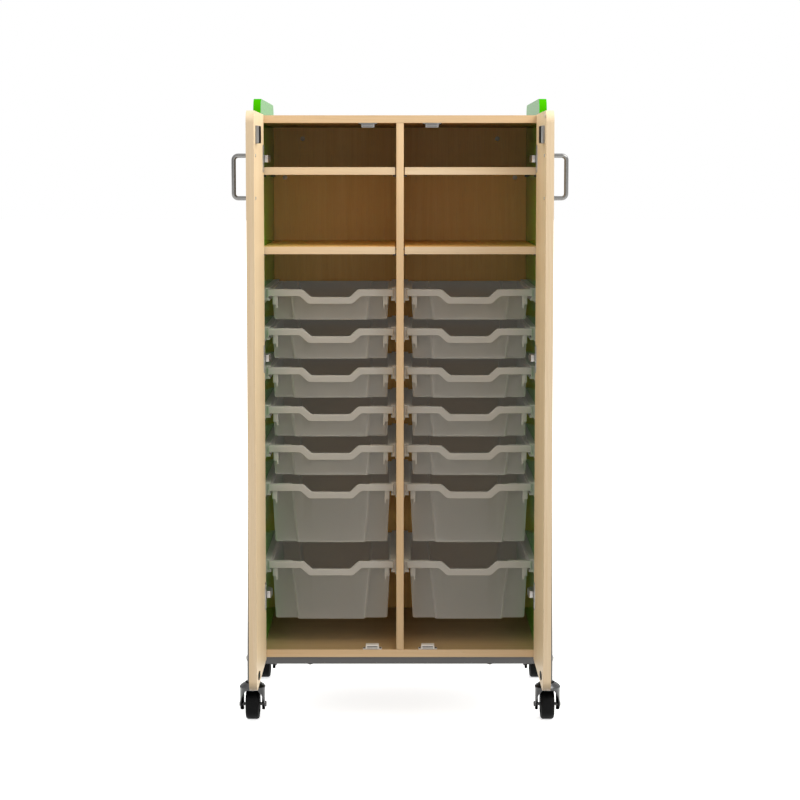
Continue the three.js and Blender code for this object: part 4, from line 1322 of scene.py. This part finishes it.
def caster_collar():
    """A black bearing ring round the leg's foot."""
    bore, rim = COLLAR["bore"], COLLAR["rim"]
    foot, top = HOOD_TOP - 1, HOOD_TOP + 1.8
    ring = [(bore, foot), (rim, foot), (rim, HOOD_TOP + 1.0), (rim - 1, top), (bore, top)]
    return turned(ring, "Z", (0, 0, 0), 40)


def caster_wheel():
    """A solid wheel with a crowned tread, recessed sides and a hub."""
    half = WHEEL_HALF
    tread = arc(WHEEL_RADIUS - TREAD_ROUND, half - TREAD_ROUND, TREAD_ROUND, 0, QUARTER, 6)
    upper = [(WHEEL_RADIUS, 0), (WHEEL_RADIUS, half - 7.6), *tread[1:], (28.5, half), (26.5, half - 0.6),
             (24.5, half - 3.0), (14, half - 3.2), (12.5, half - 1.0), (11.5, half - 0.4), (6, half - 0.4),
             (4.4, half - 1.2)]
    lower = flipped(upper[1:], -1)
    return turned(upper + lower[::-1], "X", (0, 0, 0), 72)


class TRAYUNIT_OT_casters(bpy.types.Operator):
    """Swivel casters: hoods, axles with stems, collars and wheels"""

    bl_idname = "tray_unit.casters"
    bl_label = "Casters"

    def execute(self, context):
        # The hood's second finish, the black, paints the shade inside it.
        hood = as_mesh("caster_hood", caster_hood(), caster_metal(), black_rubber())
        axle = as_mesh("caster_axle", caster_axle(), leg_paint())
        collar = as_mesh("caster_collar", caster_collar(), black_rubber())
        wheel = as_mesh("caster_wheel", caster_wheel(), black_rubber())
        for side in SIDES:
            for end in ENDS:
                name = f"{side}_{end}"
                x, y, _ = halfway(*span(f"{name}_caster_hood"))
                place = (x, y, 0)
                piece(f"{name}_hood_shell", hood, None, f"{name}_caster",
                      [f"{name}_caster_hood"], place)
                piece(f"{name}_axle", axle, None, f"{name}_caster", (), place)
                piece(f"{name}_collar", collar, None, f"{name}_caster", (), place)
                piece(f"{name}_tyre", wheel, None, f"{name}_wheel_body",
                      [f"{name}_wheel"], halfway(*span(f"{name}_wheel")))
        return {"FINISHED"}


CAP_PROFILE = ((0, 0), (6, 0), (6, 0.8), (4.8, 1.8), (0, 2.1))
CAP_PLACES = ((257, 1441), (304, 1339))
BACK_SCREW = {"radius": 4, "height": 1.4}
BACK_SCREW_ROWS = 6
BACK_SCREW_INSET = {"side": 9, "end": 30}
BEAD_SECTION = ((4.5, 0), (0, 0), (0, 2.6), (2.5, 2.2), (4.1, 1.0))  # in from the side panel, rearwards


class TRAYUNIT_OT_back_fixings(bpy.types.Operator):
    """Caps on the inside of the back panel, and screws and beads on its outside"""

    bl_idname = "tray_unit.back_fixings"
    bl_label = "Back fixings"

    def execute(self, context):
        caps = [turned(flipped(CAP_PROFILE, -1), "Y", (x, BACK_LOW.y, z), 24) for x, z in CAP_PLACES]
        pair("back_caps", joined(*caps), catch_plastic(), "cabinet")
        inset = BACK_SCREW_INSET["end"]
        height = BACK_HIGH.z - BACK_LOW.z - 2 * inset
        rows = [BACK_LOW.z + inset + i * height / (BACK_SCREW_ROWS - 1) for i in range(BACK_SCREW_ROWS)]
        places = [(x, z) for z in rows for x in (BACK_HIGH.x - BACK_SCREW_INSET["side"], 0)]
        places += [(BACK_HIGH.x / 2, z) for z in (rows[0], rows[-1])]
        screws = [screw_head((x, BACK_HIGH.y, z), "Y", 1, **BACK_SCREW) for x, z in places]
        pair("back_screws", joined(*screws), nickel(), "cabinet")
        bead = [(SIDE_INNER - inwards, BACK_HIGH.y + out) for inwards, out in BEAD_SECTION]
        strip = slab(bead, "Z", BACK_LOW.z + 1, BACK_HIGH.z - 1, 0.3, 1)
        # The beads take the inside tone, the painted-light copy of the maple.
        pair("back_bead", strip, maple("Z", "inside"), "cabinet")
        return {"FINISHED"}


# Stage

IMAGE = 800
SENSOR = 36
CLIP_END = 200
FLOOR_HALF = 60000
STUDIO = {"base": 0.58, "right": 0.5, "front": 0.4, "above": 0.9, "below": 1.6}
KEY = {"power": 36, "size": 1300, "place": (1500, -1100, 2700), "aim": (0, 0, 900)}
CAMERA = {"focal": 2106.2, "distance": 5081.2, "height": 1341.4, "shift": -0.05, "tilt": 4.976}


class TRAYUNIT_OT_stage(bpy.types.Operator):
    """Pale floor, soft light and the camera"""

    bl_idname = "tray_unit.stage"
    bl_label = "Stage"

    def execute(self, context):
        self.floor()
        self.light()
        self.camera()
        return {"FINISHED"}

    def floor(self):
        """A wide pale floor that throws no light up at the unit."""
        bm = bmesh.new()
        bmesh.ops.create_grid(bm, x_segments=8, y_segments=8, size=FLOOR_HALF)
        made = bpy.data.objects.new("studio_floor", as_mesh("studio_floor", bm, floor_paint()))
        bpy.context.scene.collection.objects.link(made)
        made.visible_diffuse = False

    def light(self):
        """A white studio, brighter from the right, the front and above, and a soft lamp on the right."""
        key = bpy.data.lights.new("key", "AREA")
        key.energy = KEY["power"]
        key.size = KEY["size"] * MM
        lamp = bpy.data.objects.new("key", key)
        place = Vector(KEY["place"])
        lamp.location = place * MM
        lamp.rotation_euler = (place - Vector(KEY["aim"])).to_track_quat("Z", "Y").to_euler()
        lamp.visible_camera = False
        bpy.context.scene.collection.objects.link(lamp)
        world = bpy.data.worlds.new("studio")
        bpy.context.scene.world = world
        world.use_nodes = True
        world.node_tree.nodes.clear()
        start = Wire(world.node_tree)
        towards = start.node("ShaderNodeTexCoord", output="Generated")
        x, y, z = (start.node("ShaderNodeSeparateXYZ", sockets={"Vector": towards}, output=axis)
                   for axis in "XYZ")
        glow = (STUDIO["base"] + STUDIO["right"] * start.maths("MAXIMUM", x, 0.0)
                + STUDIO["front"] * start.maths("MAXIMUM", 0.0 - y, 0.0)
                + STUDIO["above"] * start.maths("MAXIMUM", z, 0.0))
        glow = glow * start.maths("MAXIMUM", 1.0 + STUDIO["below"] * start.maths("MINIMUM", z, 0.0), 0.0)
        seen = start.node("ShaderNodeLightPath", output="Is Camera Ray")
        room = start.node("ShaderNodeBackground", sockets={"Color": WHITE, "Strength": glow})
        white = start.node("ShaderNodeBackground", sockets={"Color": WHITE, "Strength": 1.0})
        both = start.node("ShaderNodeMixShader", sockets={0: seen, 1: room, 2: white})
        start.node("ShaderNodeOutputWorld", sockets={"Surface": both})
        view = bpy.context.scene.view_settings
        view.view_transform = "Standard"
        view.look = "None"

    def camera(self):
        """The photograph's place, level with the upper doors and tilted a little down."""
        data = bpy.data.cameras.new("camera")
        data.sensor_width = SENSOR
        data.lens = CAMERA["focal"] / IMAGE * SENSOR
        data.shift_y = CAMERA["shift"]
        data.clip_end = CLIP_END
        made = bpy.data.objects.new("camera", data)
        made.location = Vector((0, FRONT - CAMERA["distance"], CAMERA["height"])) * MM
        made.rotation_euler = (QUARTER - math.radians(CAMERA["tilt"]), 0, 0)
        bpy.context.scene.collection.objects.link(made)
        bpy.context.scene.camera = made


OPERATORS = (
    TRAYUNIT_OT_boards, TRAYUNIT_OT_runners, TRAYUNIT_OT_trays, TRAYUNIT_OT_doors,
    TRAYUNIT_OT_hinges, TRAYUNIT_OT_pulls, TRAYUNIT_OT_catches, TRAYUNIT_OT_base,
    TRAYUNIT_OT_casters, TRAYUNIT_OT_back_fixings, TRAYUNIT_OT_stage,
)


class TRAYUNIT_PT_sidebar(bpy.types.Panel):
    """Lists the unit's settings and pieces"""

    bl_idname = "TRAYUNIT_PT_sidebar"
    bl_label = "Tray Unit"
    bl_space_type = "VIEW_3D"
    bl_region_type = "UI"
    bl_category = "Tray Unit"

    def draw(self, context):
        """Settings first, then one button for each group of pieces."""
        for group in (context.scene.tray_unit_sizes, context.scene.tray_unit_colours):
            for name in group.__annotations__:
                self.layout.prop(group, name)
        for operator in OPERATORS:
            self.layout.operator(operator.bl_idname)


CLASSES = (TrayUnitSizes, TrayUnitColours, *OPERATORS, TRAYUNIT_PT_sidebar)


def register():
    """Adds the classes and the settings."""
    for made in CLASSES:
        bpy.utils.register_class(made)
    bpy.types.Scene.tray_unit_sizes = PointerProperty(type=TrayUnitSizes)
    bpy.types.Scene.tray_unit_colours = PointerProperty(type=TrayUnitColours)


def unregister():
    """Takes the settings and the classes out again."""
    del bpy.types.Scene.tray_unit_colours
    del bpy.types.Scene.tray_unit_sizes
    for made in reversed(CLASSES):
        bpy.utils.unregister_class(made)


def main():
    """Makes every piece."""
    register()
    for operator in OPERATORS:
        group, name = operator.bl_idname.split(".")
        getattr(getattr(bpy.ops, group), name)()


if __name__ == "__main__":
    main()
